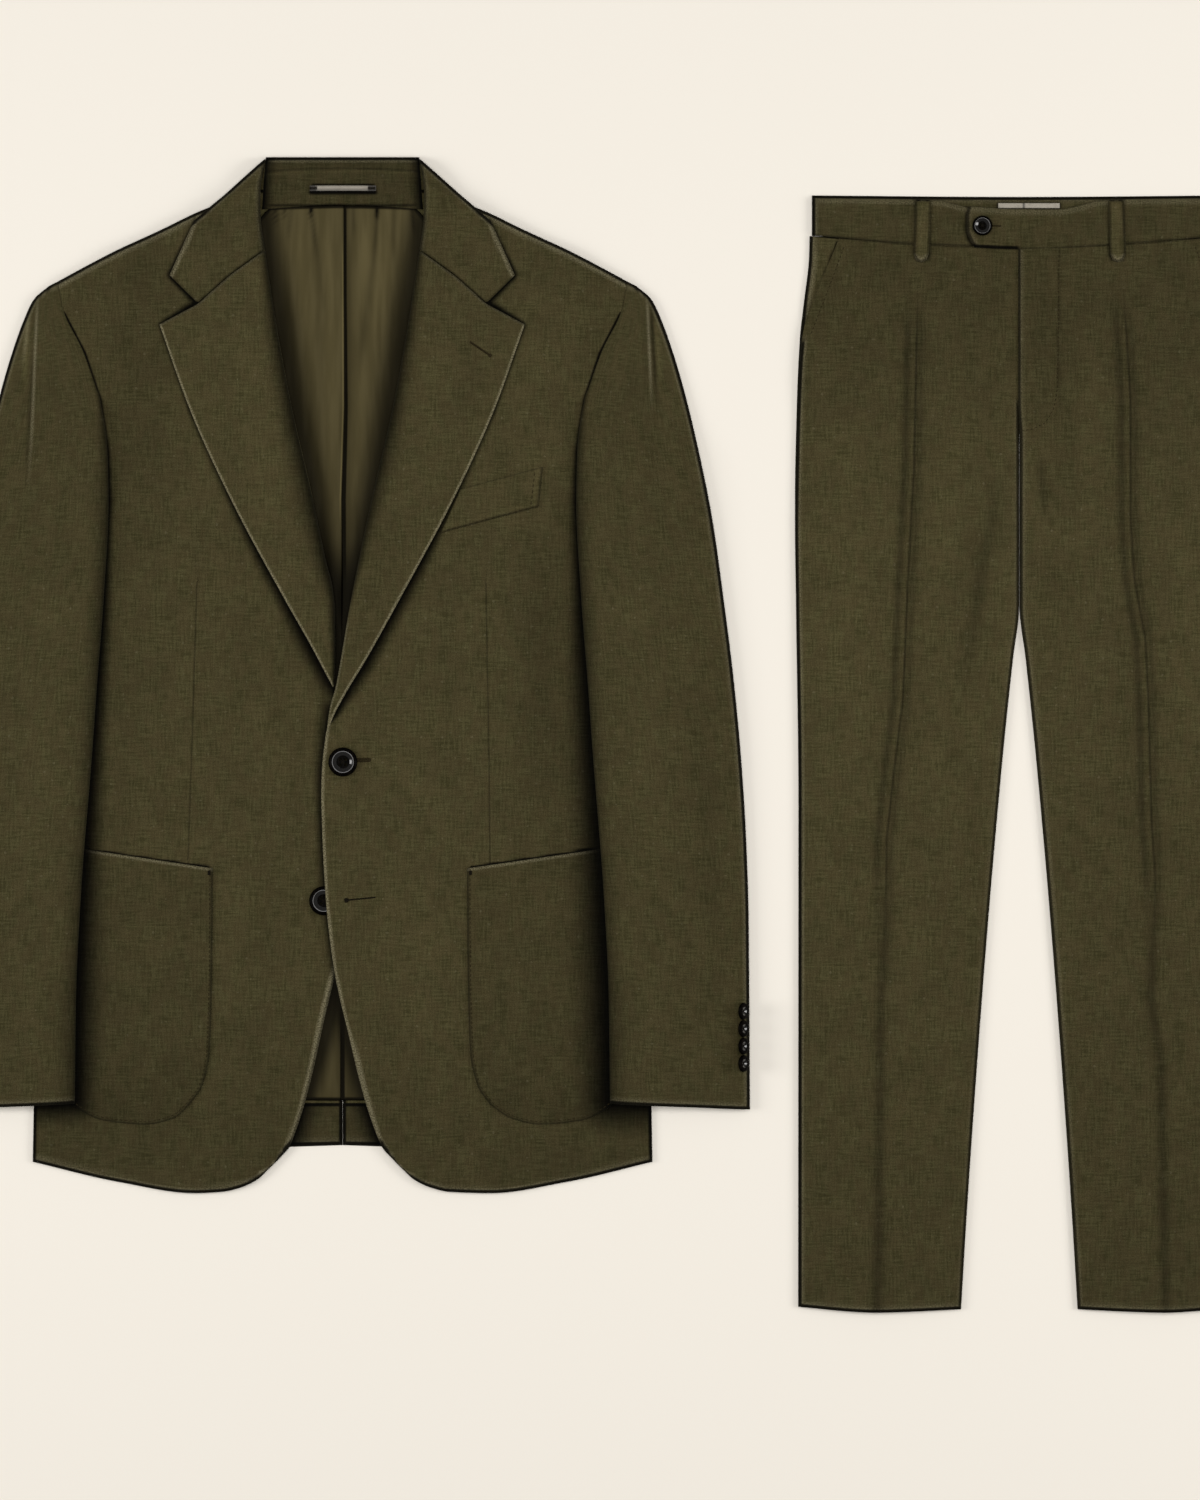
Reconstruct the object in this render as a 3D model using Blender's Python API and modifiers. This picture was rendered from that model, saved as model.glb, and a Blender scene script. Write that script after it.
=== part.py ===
"""A two-piece suit laid flat: a notch-lapel jacket, buttoned once, with its trousers beside it.

The scene is in metres, +X to the right and +Y towards the collar as the suit lies, and +Z up from the surface that it
rests on. Each garment is cut in millimetres in its own pattern frame: "across" runs out from its centre line and "down"
runs from its top edge. A cloth piece is a patch between four edges, and its wall stands between two height functions,
which stack the pieces on each other a seam's gap apart. The worn left side lies at +across.
"""

from collections import namedtuple

import bmesh
import bpy
import numpy as np
from mathutils import Matrix, Vector

MM = 0.001

# Where each garment's pattern frame starts, in millimetres from the middle of the suit.
JACKET_AT = (-196.25, 462.2)
TROUSERS_AT = (345.45, 430.2)

# Walls and the gap between pieces that touch, in millimetres.
GAP = 0.3
HALF_SEAM = 0.2
CLOTH = 1.2
LINING = 1.0
FRONT_WALL = 1.5
LAPEL_WALL = 1.7
BAND_WALL = 1.8
LABEL_WALL = 0.6
SLEEVE_WALL = 1.3

# How far soft forms stand up from what they lie on.
CHEST_SWELL = 2.2
LOOSE_BUTTON_LIFT = 3.7
LAPEL_ROLL = 2.6
COLLAR_ROLL = 2.2
COLLAR_TURN = 4.2
SLEEVE_CROWN = 3.2
CREASE_RIDGE = 3.0
PLEAT_FOLD = 1.2

# Buttons: radius and thickness.
FRONT_BUTTON = (11.6, 3.2)
CUFF_BUTTON = (6.9, 2.4)
WAIST_BUTTON = (8.0, 2.6)

# Where the buttons are sewn: across, down.
UPPER_BUTTON_AT = (0.5, 484.0)
LOWER_BUTTON_AT = (-17.0, 595.0)
WAIST_BUTTON_AT = (-30.0, 23.2)
CUFF_BUTTON_FIRST = 682.5
CUFF_BUTTON_PITCH = 14.2
CUFF_BUTTON_ACROSS = 322.6
CUFF_BUTTON_HEIGHT = 6.7
CUFF_BUTTON_TILT = 42.0

Point = namedtuple("Point", "across down")
StandRow = namedtuple("StandRow", "down under over")

# Jacket, half pattern.
NECK_POINT = Point(65.5, 25.5)
SHOULDER_POINT = Point(227.6, 99.5)
ROLL_LINE = (
    Point(65.4, 50),
    Point(62, 76),
    Point(52, 138),
    Point(40.5, 200),
    Point(23.5, 274),
    Point(-5, 425),
)
OVER_EDGE = (
    Point(-6, 446),
    Point(-12.5, 466),
    Point(-15.6, 490),
    Point(-15.6, 538),
    Point(-12.6, 595),
    Point(-6, 650),
    Point(2, 690),
    Point(31, 791),
)
UNDER_EDGE = (
    Point(-4, 446),
    Point(8, 466),
    Point(16, 490),
    Point(16, 538),
    Point(11, 595),
    Point(-1, 640),
    Point(-6, 656),
    Point(-42, 791),
)
ARMHOLE = (
    Point(223.8, 121),
    Point(206.8, 157),
    Point(194.8, 194),
    Point(188.8, 235),
    Point(196, 270),
    Point(222, 295),
    Point(250, 306),
)
SIDE_SEAM = (
    Point(242, 420),
    Point(240, 520),
    Point(245, 650),
    Point(248, 804),
)
BACK_HEM = (Point(HALF_SEAM, 790.8), Point(120, 795), Point(248, 804))
LAPEL_EDGE = (
    Point(146, 134.4),
    Point(121, 204),
    Point(89, 274),
    Point(46, 354),
    Point(11.6, 415),
    Point(-2, 440),
)
GORGE = (Point(61.6, 74.5), Point(90, 95), Point(115.4, 117.4))
NOTCH_GAP = 0.8
COLLAR_TIP = Point(138, 95)
COLLAR_CORNER = Point(62.2, 3)
COLLAR_SHOULDER = Point(118.5, 51.5)
STAND_ROWS = (
    StandRow(down=0, under=1.8, over=5.2),
    StandRow(down=3, under=1.8, over=7.2),
    StandRow(down=8, under=4.6, over=7.6),
    StandRow(down=14, under=5.2, over=7.0),
    StandRow(down=24, under=4.4, over=6.0),
    StandRow(down=38, under=3.6, over=5.2),
)
STAND_HALF_TOP = 61.4
STAND_HALF_SEAM = 64.4
LINING_EDGE = (
    Point(62, 44),
    Point(86, 75),
    Point(100, 150),
    Point(100, 300),
    Point(95, 600),
    Point(95, 755),
)
SLEEVE_INNER = (
    Point(229, 101),
    Point(225, 121),
    Point(208, 157),
    Point(196, 194),
    Point(190, 235),
    Point(187.5, 275),
    Point(191, 354),
    Point(196, 418),
    Point(200, 474),
    Point(209.5, 598),
    Point(213, 674),
    Point(214, 757),
)
SLEEVE_OUTER = (
    Point(236, 103.5),
    Point(247, 114),
    Point(255, 130),
    Point(261, 146),
    Point(271, 178),
    Point(283, 226),
    Point(296, 290),
    Point(305, 354),
    Point(313, 418),
    Point(319, 482),
    Point(323, 546),
    Point(325, 610),
    Point(326, 762),
)
WELT_CORNERS = (Point(94.5, 266), Point(160.5, 248), Point(78.5, 301), Point(157, 280))
POCKET_INNER = (
    Point(99.6, 569),
    Point(100, 640),
    Point(102, 715),
    Point(108, 743),
    Point(118, 758),
)
POCKET_OUTER = (
    Point(238, 549),
    Point(239, 640),
    Point(238, 715),
    Point(233, 738),
    Point(224, 750),
)
POCKET_FOOT = (Point(135, 769), Point(158, 774), Point(190, 771), Point(211, 762))
RIGHT_POCKET_SHIFT = 4.0
HEM_BAND = (757.0, 790.2, 78.0)
HANGER_LOOP = (-29.6, 30.4, 23.0, 28.2)

# Trousers, half pattern.
LEG_SIDE = (
    Point(167.6, 31),
    Point(168.4, 50),
    Point(172.4, 84),
    Point(175.6, 112),
    Point(178, 163),
    Point(179.6, 243),
    Point(178.8, 323),
    Point(176.8, 483),
    Point(177, 888),
)
FRONT_LEG_SIDE = (
    Point(145.6, 35.6),
    Point(173.6, 110.5),
    Point(176.4, 138),
    Point(178.6, 203),
    Point(179.6, 263),
    Point(178.8, 323),
    Point(176.8, 483),
    Point(177, 888),
)
INSEAM = (
    Point(HALF_SEAM, 326),
    Point(5.2, 370),
    Point(12, 434),
    Point(18, 498),
    Point(23.6, 562),
    Point(33.6, 690),
    Point(42.4, 818),
    Point(46.7, 890),
)
LEG_HEM = (Point(115.6, 892.4),)
SEAT_TOP = 31.2
FLY_TOP = 41.4
WAIST_HALF = 166.0
WAIST_TOP = (Point(0, 9.8), Point(33, 9.5), Point(46, 6.5), Point(85, 5), Point(WAIST_HALF, 0.8))
WAIST_SEAM = (Point(0, 40.6), Point(85, 37.2), Point(WAIST_HALF, 30.4))
TAB_END = (Point(-38, 9.6), Point(-41.4, 17), Point(-41.4, 29), Point(-38, 38.6))
BACK_BAND_FOOT = 30.8
WAIST_LABEL = (-17.0, 32.2, 3.6, 8.8)
BELT_LOOP = (70.8, 84.4, 5.2, 51.5)
FACING_INNER = (Point(126, 36.6), Point(150, 128))
CREASE_STOP = 0.54
LEG_COLUMNS = (0, 0.16, 0.32, 0.44, CREASE_STOP, 0.64, 0.76, 0.89, 1)

SUIT = bpy.data.collections.new("two_piece_suit")


# ---------------------------------------------------------------- curves and patches


def ease(value, start, end):
    """0 at start and 1 at end, with a soft S between."""
    share = min(1.0, max(0.0, (value - start) / (end - start)))
    return share * share * (3 - 2 * share)


def smooth_through(places, values):
    """A function through the values that never swings past them, for places that increase."""
    steps = np.diff(places)
    rises = np.diff(values) / steps
    slopes = np.empty(len(places))
    slopes[0] = rises[0]
    slopes[-1] = rises[-1]
    for i in range(1, len(places) - 1):
        before, after = rises[i - 1], rises[i]
        slopes[i] = 2 * before * after / (before + after) if before * after > 0 else 0.0

    def at(place):
        i = int(np.clip(np.searchsorted(places, place) - 1, 0, len(steps) - 1))
        t = (place - places[i]) / steps[i]
        start = (1 + 2 * t) * (1 - t) ** 2 * values[i] + t * (1 - t) ** 2 * steps[i] * slopes[i]
        end = t * t * (3 - 2 * t) * values[i + 1] + t * t * (t - 1) * steps[i] * slopes[i + 1]
        return start + end

    return at


def edge_down(points):
    """An edge that runs down the garment, read at a fraction of its drop."""
    downs = [p.down for p in points]
    across_at = smooth_through(downs, [p.across for p in points])

    def at(t):
        down = downs[0] + t * (downs[-1] - downs[0])
        return np.array((across_at(down), down))

    return at


def edge_across(points, cornered):
    """An edge that runs across the garment, read at a fraction of its width. A cornered one keeps its corners."""
    acrosses = [p.across for p in points]
    downs = [p.down for p in points]
    smooth_at = smooth_through(acrosses, downs)

    def down_at(across):
        return np.interp(across, acrosses, downs) if cornered else smooth_at(across)

    def at(s):
        across = acrosses[0] + s * (acrosses[-1] - acrosses[0])
        return np.array((across, down_at(across)))

    return at


def even_stops(count):
    return [i / count for i in range(count + 1)]


def patch_point(edges, s, t):
    """The point of a patch between four edges, at the fractions s across it and t down it."""
    inner, outer, top, bottom = edges
    between_sides = (1 - s) * inner(t) + s * outer(t)
    between_ends = (1 - t) * top(s) + t * bottom(s)
    top_corners = (1 - t) * ((1 - s) * inner(0) + s * outer(0))
    bottom_corners = t * ((1 - s) * inner(1) + s * outer(1))
    return between_sides + between_ends - top_corners - bottom_corners


def patch_edges(inner, outer, top=(), bottom=(), cornered=False):
    """The four edges of a patch. top and bottom name only the points between its corners."""
    return (
        edge_down(inner),
        edge_down(outer),
        edge_across((inner[0], *top, outer[0]), cornered),
        edge_across((inner[-1], *bottom, outer[-1]), cornered),
    )


# ---------------------------------------------------------------- objects and materials


def make_material(name, colour, roughness, sheen=0.0):
    material = bpy.data.materials.new(name)
    material.use_nodes = True
    shader = material.node_tree.nodes["Principled BSDF"]
    shader.inputs["Base Color"].default_value = (*colour, 1)
    shader.inputs["Roughness"].default_value = roughness
    shader.inputs["Sheen Weight"].default_value = sheen
    return material


def place(at, side, across, down, height):
    """A pattern point as a scene point."""
    return Vector((at[0] + side * across, at[1] - down, height)) * MM


def add_object(name, mesh, material):
    mesh.materials.append(material)
    piece = bpy.data.objects.new(name, mesh)
    SUIT.objects.link(piece)
    return piece


def cloth_piece(name, material, at, side, edges, stops, under, over):
    """A closed wall over a patch of the pattern: a grid for its underside and its copy, raised, for its face.

    under and over give the heights at (across, down, s, t), where across has the side's sign.
    """
    columns, rows = stops
    bm = bmesh.new()
    bmesh.ops.create_grid(bm, x_segments=len(columns) - 1, y_segments=len(rows) - 1, size=0.5)
    fractions = {}
    for vert in bm.verts:
        column = round((vert.co.x + 0.5) * (len(columns) - 1))
        row = round((0.5 - vert.co.y) * (len(rows) - 1))
        fractions[vert] = (columns[column], rows[row])
        vert.co.xy = patch_point(edges, *fractions[vert])
    flat = {vert: (vert.co.x, vert.co.y, *fractions[vert]) for vert in bm.verts}
    raised = bmesh.ops.extrude_face_region(bm, geom=bm.faces[:], use_keep_orig=True)
    lookup = {(round(x, 5), round(y, 5)): (s, t) for x, y, s, t in flat.values()}
    for vert in [v for v in raised["geom"] if isinstance(v, bmesh.types.BMVert)]:
        x, y = vert.co.x, vert.co.y
        vert.co = place(at, side, x, y, over(side * x, y, *lookup[round(x, 5), round(y, 5)]))
    for vert, (x, y, s, t) in flat.items():
        vert.co = place(at, side, x, y, under(side * x, y, s, t))
    bmesh.ops.recalc_face_normals(bm, faces=bm.faces[:])
    mesh = bpy.data.meshes.new(name)
    bm.to_mesh(mesh)
    bm.free()
    mesh.shade_smooth()
    mesh.set_sharp_from_angle(angle=0.6)
    return add_object(name, mesh, material)


def floor_level(x, d, s, t):
    return 0.0


def lifted(height, by):
    """The height function raised by an amount."""
    return lambda x, d, s, t: height(x, d, s, t) + by


def button_mesh(name, radius, thickness, steps):
    """A turned button with a raised rim round a dished face, its back flat at height 0."""
    profile = (
        (0, 0.62),
        (0.52, 0.62),
        (0.70, 0.95),
        (0.88, 1.0),
        (1.0, 0.66),
        (0.96, 0.22),
        (0.80, 0),
        (0, 0),
    )
    bm = bmesh.new()
    verts = [bm.verts.new((r * radius * MM, 0, z * thickness * MM)) for r, z in profile]
    for first, second in zip(verts, verts[1:]):
        bm.edges.new((first, second))
    mesh = bpy.data.meshes.new(name)
    bm.to_mesh(mesh)
    bm.free()
    return mesh, steps


def add_button(name, turned, material, at, side, across, down, height, tilt=0.0):
    profile, steps = turned
    button = add_object(name, profile.copy(), material)
    screw = button.modifiers.new("turn", "SCREW")
    screw.steps = steps
    screw.render_steps = steps
    screw.use_merge_vertices = True
    screw.merge_threshold = 0.00001
    screw.use_smooth_shade = True
    turn = Matrix.Rotation(np.radians(side * tilt), 4, "Y")
    button.matrix_world = Matrix.Translation(place(at, side, across, down, height)) @ turn
    return button


# ---------------------------------------------------------------- jacket heights


def neck_lift(x, d, layer):
    """How far the collar's fall lifts what lies over it: further down and out for each higher layer."""
    by_down = 1 - ease(d, 66 + 40 * layer, 104 + 40 * layer)
    by_across = 1 - ease(abs(x), 132 + 20 * layer, 172 + 20 * layer)
    return (LAPEL_WALL + GAP) * by_down * by_across


def back_under(x, d, s=0, t=0):
    return neck_lift(x, d, 0)


def back_over(x, d, s=0, t=0):
    return back_under(x, d) + CLOTH


def lining_under(x, d, s=0, t=0):
    return neck_lift(x, d, 1) + CLOTH + GAP


def lining_over(x, d, s=0, t=0):
    """The lining's face, with the fold of its centre pleat where it shows."""
    shows = (1 - ease(d, 250, 330)) * ease(d, 50, 80) + 0.6 * ease(d, 725, 750)
    return lining_under(x, d) + LINING + PLEAT_FOLD * shows * (1 - ease(abs(x), 1, 7))


def front_under(x, d, s=0, t=0):
    over_lining = (LINING + GAP) * (1 - ease(abs(x), 125, 170))
    chest = CHEST_SWELL * np.exp(-(((abs(x) - 120) / 62) ** 2) - ((d - 215) / 140) ** 2)
    return neck_lift(x, d, 2) + CLOTH + GAP + over_lining + chest


def overlap_lift(x, d):
    """How far the worn left front is held up by the right front's edge, and by the loose lower button."""
    fronts = (FRONT_WALL + GAP) * (1 - ease(x, 25, 80)) * ease(d, 330, 412) * (1 - 0.8 * ease(d, 690, 780))
    button = LOOSE_BUTTON_LIFT * (1 - ease(abs(d - LOWER_BUTTON_AT[1]), 22, 75)) * (1 - ease(x, 0, 45))
    return fronts + button


def left_front_under(x, d, s=0, t=0):
    return front_under(x, d) + overlap_lift(x, d)


def front_face(side):
    """The top of the front on one side."""
    return lifted(left_front_under if side > 0 else front_under, FRONT_WALL)


def shoulder_line(across):
    """How far down the shoulder seam lies."""
    slope = (SHOULDER_POINT.down - NECK_POINT.down) / (SHOULDER_POINT.across - NECK_POINT.across)
    return NECK_POINT.down + slope * (across - NECK_POINT.across)


def armhole_foot(across):
    """How far down the lower curve of the armhole lies."""
    foot = ARMHOLE[3:]
    return np.interp(across, [p.across for p in foot], [p.down for p in foot])


def lapel_under(side):
    face = front_face(side)

    def height(x, d, s, t):
        roll = LAPEL_ROLL * (1 - ease(s, 0, 0.45)) * (1 - 0.6 * ease(d, 300, 430))
        return face(x, d, s, t) + 2 * GAP + roll

    return height


def leaf_under(side):
    """The collar leaf rolls up at its fold and turns down where it passes over the shoulder line."""
    face = front_face(side)

    def height(x, d, s, t):
        roll = COLLAR_ROLL * (1 - ease(s, 0, 0.5))
        past_shoulder = shoulder_line(abs(x)) - d
        return face(x, d, s, t) + 2 * GAP + roll - COLLAR_TURN * ease(past_shoulder, 3, 9)

    return height


def stand_height(column):
    at = smooth_through([r.down for r in STAND_ROWS], [getattr(r, column) for r in STAND_ROWS])
    return lambda x, d, s, t: at(min(38.0, max(0.0, d)))


def sleeve_base(x, d, s=0, t=0):
    """A sleeve's inner side lies on the body and its pocket, and its outer side on the floor."""
    wide = abs(x)
    below_armhole = ease(d - armhole_foot(wide), -95, -50)
    on_body = (1 - ease(wide, 260, 290)) * below_armhole
    pocket = (GAP + CLOTH) * ease(d, 515, 540) * (1 - ease(d, 785, 810)) * (1 - ease(wide, 245, 268))
    return (front_under(x, d) + FRONT_WALL + GAP + pocket) * on_body


def sleeve_crown(x, d, s, t):
    return sleeve_base(x, d) + CLOTH + GAP + SLEEVE_CROWN * (1 - abs(2 * s - 1) ** 2.4)


# ---------------------------------------------------------------- jacket pieces


def jacket_backs(cloth):
    seam = [Point(HALF_SEAM, 40), Point(HALF_SEAM, 400), BACK_HEM[0]]
    outer = [SHOULDER_POINT, *ARMHOLE, *SIDE_SEAM]
    edges = patch_edges(seam, outer, top=(Point(40, 38), NECK_POINT, Point(120, 50)), bottom=BACK_HEM[1:2])
    stops = ((0, 0.18, 0.29, 0.53, 0.76, 1), even_stops(20))
    for side, hand in ((1, "left"), (-1, "right")):
        cloth_piece(f"back_{hand}", cloth, JACKET_AT, side, edges, stops, back_under, back_over)


def back_hems(cloth):
    top, foot, half = HEM_BAND
    inner = (Point(HALF_SEAM, top), Point(HALF_SEAM, foot))
    edges = patch_edges(inner, (Point(half, top), Point(half, foot + 1.6)))
    stops = (even_stops(3), even_stops(2))
    for side, hand in ((1, "left"), (-1, "right")):
        over = lifted(lining_under, LINING)
        cloth_piece(f"back_hem_{hand}", cloth, JACKET_AT, side, edges, stops, lining_under, over)


def back_lining(silk):
    left_edge = [Point(-p.across, p.down) for p in LINING_EDGE]
    neck = (Point(-40, 40.6), Point(0, 38.6), Point(40, 40.6))
    edges = patch_edges(left_edge, LINING_EDGE, top=neck)
    columns = (0, 0.25, 0.44, 0.48, 0.5, 0.52, 0.56, 0.75, 1)
    stops = (columns, even_stops(16))
    cloth_piece("back_lining", silk, JACKET_AT, 1, edges, stops, lining_under, lining_over)


def jacket_fronts(cloth):
    outer = [SHOULDER_POINT, *ARMHOLE, *SIDE_SEAM]
    for side, hand, edge in ((1, "left", OVER_EDGE), (-1, "right", UNDER_EDGE)):
        fold = [Point(side * p.across if p.down > 400 else p.across, p.down) for p in (*ROLL_LINE, *edge)]
        corner = Point(fold[-1].across + 14, 806)
        inner = [NECK_POINT, *fold, corner]
        hem = (
            Point(corner.across + 12, 818),
            Point(corner.across + 27, 825),
            Point(corner.across + 41, 828),
            Point(118, 829),
            Point(180, 820),
        )
        edges = patch_edges(inner, outer, bottom=hem)
        stops = ((0, 0.05, 0.12, 0.22, 0.34, 0.48, 0.56, 0.64, 0.72, 0.84, 1), even_stops(27))
        under = left_front_under if side > 0 else front_under
        over = lifted(under, FRONT_WALL)
        cloth_piece(f"front_{hand}", cloth, JACKET_AT, side, edges, stops, under, over)


def lapels(cloth):
    for side, hand in ((1, "left"), (-1, "right")):
        foot = Point(-5, 442) if side > 0 else Point(8, 422)
        inner = [Point(GORGE[0].across, GORGE[0].down + NOTCH_GAP), *ROLL_LINE[2:-1], foot]
        outer = list(LAPEL_EDGE) if side > 0 else [*LAPEL_EDGE[:-2], Point(14, 414)]
        notch = Point(GORGE[2].across, GORGE[2].down + NOTCH_GAP)
        edges = patch_edges(inner, outer, top=(Point(90, GORGE[1].down + NOTCH_GAP), notch), cornered=True)
        notch_stop = (notch.across - inner[0].across) / (outer[0].across - inner[0].across)
        stops = ((0, 0.1, 0.22, 0.42, notch_stop, 0.82, 1), even_stops(14))
        under = lapel_under(side)
        cloth_piece(
            f"lapel_{hand}", cloth, JACKET_AT, side, edges, stops, under, lifted(under, LAPEL_WALL)
        )


def collar_leaves(cloth):
    inner = (COLLAR_CORNER, Point(65.5, 30), Point(65, 50), GORGE[0])
    outer = (COLLAR_SHOULDER, COLLAR_TIP)
    edges = patch_edges(inner, outer, bottom=GORGE[1:], cornered=True)
    notch_stop = (GORGE[2].across - GORGE[0].across) / (COLLAR_TIP.across - GORGE[0].across)
    stops = ((0, 0.12, 0.3, 0.5, notch_stop, 0.86, 1), (0, 0.06, 0.16, 0.4, 0.7, 1))
    for side, hand in ((1, "left"), (-1, "right")):
        under = leaf_under(side)
        over = lifted(under, LAPEL_WALL)
        cloth_piece(f"collar_leaf_{hand}", cloth, JACKET_AT, side, edges, stops, under, over)


def collar_fall(cloth):
    """The back of the collar leaf, which lies behind the neck and under the back."""
    right = (Point(114, 50.5), Point(113, 60))
    left = [Point(-p.across, p.down) for p in right]
    top = (Point(-58, 1), Point(0, 0), Point(58, 1))
    bottom = (Point(-60, 58), Point(0, 56), Point(60, 58))
    edges = patch_edges(left, right, top=top, bottom=bottom, cornered=True)
    stops = ((0, 0.12, 0.245, 0.5, 0.755, 0.88, 1), even_stops(3))
    over = lifted(floor_level, LAPEL_WALL - GAP)
    cloth_piece("collar_fall", cloth, JACKET_AT, 1, edges, stops, floor_level, over)


def collar_stand(cloth):
    right = [Point(STAND_HALF_TOP, 0.0), Point(STAND_HALF_SEAM, 42.0)]
    left = [Point(-p.across, p.down) for p in right]
    edges = patch_edges(left, right, bottom=(Point(0, 38),))
    stops = (even_stops(6), [r.down / STAND_ROWS[-1].down for r in STAND_ROWS])
    cloth_piece(
        "collar_stand", cloth, JACKET_AT, 1, edges, stops, stand_height("under"), stand_height("over")
    )


def hanger_loop(tape):
    left, right, top, foot = HANGER_LOOP
    edges = patch_edges((Point(left, top), Point(left, foot)), (Point(right, top), Point(right, foot)))
    under = lifted(stand_height("over"), GAP)
    stops = (even_stops(4), even_stops(2))
    cloth_piece("hanger_loop", tape, JACKET_AT, 1, edges, stops, under, lifted(under, CLOTH))


def breast_welt(cloth):
    top_inner, top_outer, foot_inner, foot_outer = WELT_CORNERS
    edges = patch_edges((top_inner, foot_inner), (top_outer, foot_outer))
    under = lifted(front_face(1), GAP)
    stops = (even_stops(5), even_stops(2))
    cloth_piece("breast_welt", cloth, JACKET_AT, 1, edges, stops, under, lifted(under, CLOTH))


def patch_pockets(cloth):
    stops = (even_stops(7), (0, 0.2, 0.4, 0.6, 0.78, 0.9, 0.96, 1))
    for side, hand, shift in ((1, "left", 0.0), (-1, "right", RIGHT_POCKET_SHIFT)):
        inner = [Point(p.across + shift, p.down) for p in POCKET_INNER]
        edges = patch_edges(inner, POCKET_OUTER, bottom=POCKET_FOOT)
        under = lifted(front_face(side), GAP)
        over = lifted(under, CLOTH)
        cloth_piece(f"patch_pocket_{hand}", cloth, JACKET_AT, side, edges, stops, under, over)


def sleeves(cloth):
    edges = patch_edges(SLEEVE_INNER, SLEEVE_OUTER)
    rows = (0, 0.03, 0.07, 0.12, 0.17, 0.22, 0.28, 0.34, 0.41, 0.5, 0.6, 0.7, 0.8, 0.9, 1)
    for side, hand in ((1, "left"), (-1, "right")):
        low = ((0, 0.3, 0.5, 0.64, 0.76, 1), rows)
        under_face = lifted(sleeve_base, CLOTH)
        cloth_piece(f"sleeve_under_{hand}", cloth, JACKET_AT, side, edges, low, sleeve_base, under_face)
        high = ((0, 0.06, 0.16, 0.3, 0.5, 0.64, 0.76, 0.9, 1), rows)
        upper_face = lifted(sleeve_crown, SLEEVE_WALL)
        cloth_piece(f"sleeve_upper_{hand}", cloth, JACKET_AT, side, edges, high, sleeve_crown, upper_face)


def jacket_buttons(horn):
    turned = button_mesh("front_button_profile", *FRONT_BUTTON, steps=24)
    upper = front_face(1)(*UPPER_BUTTON_AT, 0, 0) + 2 * GAP
    add_button("front_button_upper", turned, horn, JACKET_AT, 1, *UPPER_BUTTON_AT, upper)
    lower = front_face(-1)(*LOWER_BUTTON_AT, 0, 0) + GAP
    add_button("front_button_lower", turned, horn, JACKET_AT, 1, *LOWER_BUTTON_AT, lower)
    turned = button_mesh("cuff_button_profile", *CUFF_BUTTON, steps=14)
    for side, hand in ((1, "left"), (-1, "right")):
        for number in range(4):
            down = CUFF_BUTTON_FIRST + number * CUFF_BUTTON_PITCH
            name = f"cuff_button_{hand}_{number + 1}"
            spot = (CUFF_BUTTON_ACROSS, down, CUFF_BUTTON_HEIGHT)
            add_button(name, turned, horn, JACKET_AT, side, *spot, CUFF_BUTTON_TILT)


# ---------------------------------------------------------------- trousers


def facing_under(x, d, s=0, t=0):
    return CLOTH + GAP


def leg_under(x, d, s, t):
    """A front leg lies on the back leg, over the pocket facing, and stands up along its pressed crease."""
    over_facing = (LINING + GAP) * ease(abs(x), 85, 118) * (1 - ease(d, 135, 185))
    ridge = max(0.0, 1 - abs(s - CREASE_STOP) / 0.5) ** 1.6
    return facing_under(x, d) + over_facing + CREASE_RIDGE * ridge * ease(d, 45, 130)


def band_under(x, d, s, t):
    """The left half's buttoned tab passes over the right half's end."""
    return BAND_WALL + GAP


def tab_band_under(x, d, s, t):
    return BAND_WALL + GAP + (BAND_WALL + GAP) * (1 - ease(x, 2, 24))


def legs(cloth):
    back_seam = [Point(HALF_SEAM, SEAT_TOP), Point(HALF_SEAM, 180), *INSEAM]
    front_seam = [Point(HALF_SEAM, FLY_TOP), Point(HALF_SEAM, 180), *INSEAM]
    back_edges = patch_edges(back_seam, LEG_SIDE, bottom=LEG_HEM)
    front_edges = patch_edges(front_seam, FRONT_LEG_SIDE, top=(Point(85, 37.9),), bottom=LEG_HEM)
    for side, hand in ((1, "left"), (-1, "right")):
        low = (even_stops(3), even_stops(18))
        top = lifted(floor_level, CLOTH)
        cloth_piece(f"trouser_back_{hand}", cloth, TROUSERS_AT, side, back_edges, low, floor_level, top)
        high = (LEG_COLUMNS, (0, 0.04, 0.088, 0.13, 0.18, 0.26, *even_stops(12)[4:]))
        top = lifted(leg_under, SLEEVE_WALL)
        cloth_piece(f"trouser_front_{hand}", cloth, TROUSERS_AT, side, front_edges, high, leg_under, top)


def pocket_facings(cloth):
    outer = [Point(167.9, 34), *LEG_SIDE[1:3], Point(176.2, 126)]
    edges = patch_edges(FACING_INNER, outer)
    stops = (even_stops(2), even_stops(5))
    for side, hand in ((1, "left"), (-1, "right")):
        over = lifted(facing_under, LINING)
        cloth_piece(f"pocket_facing_{hand}", cloth, TROUSERS_AT, side, edges, stops, facing_under, over)


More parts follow.
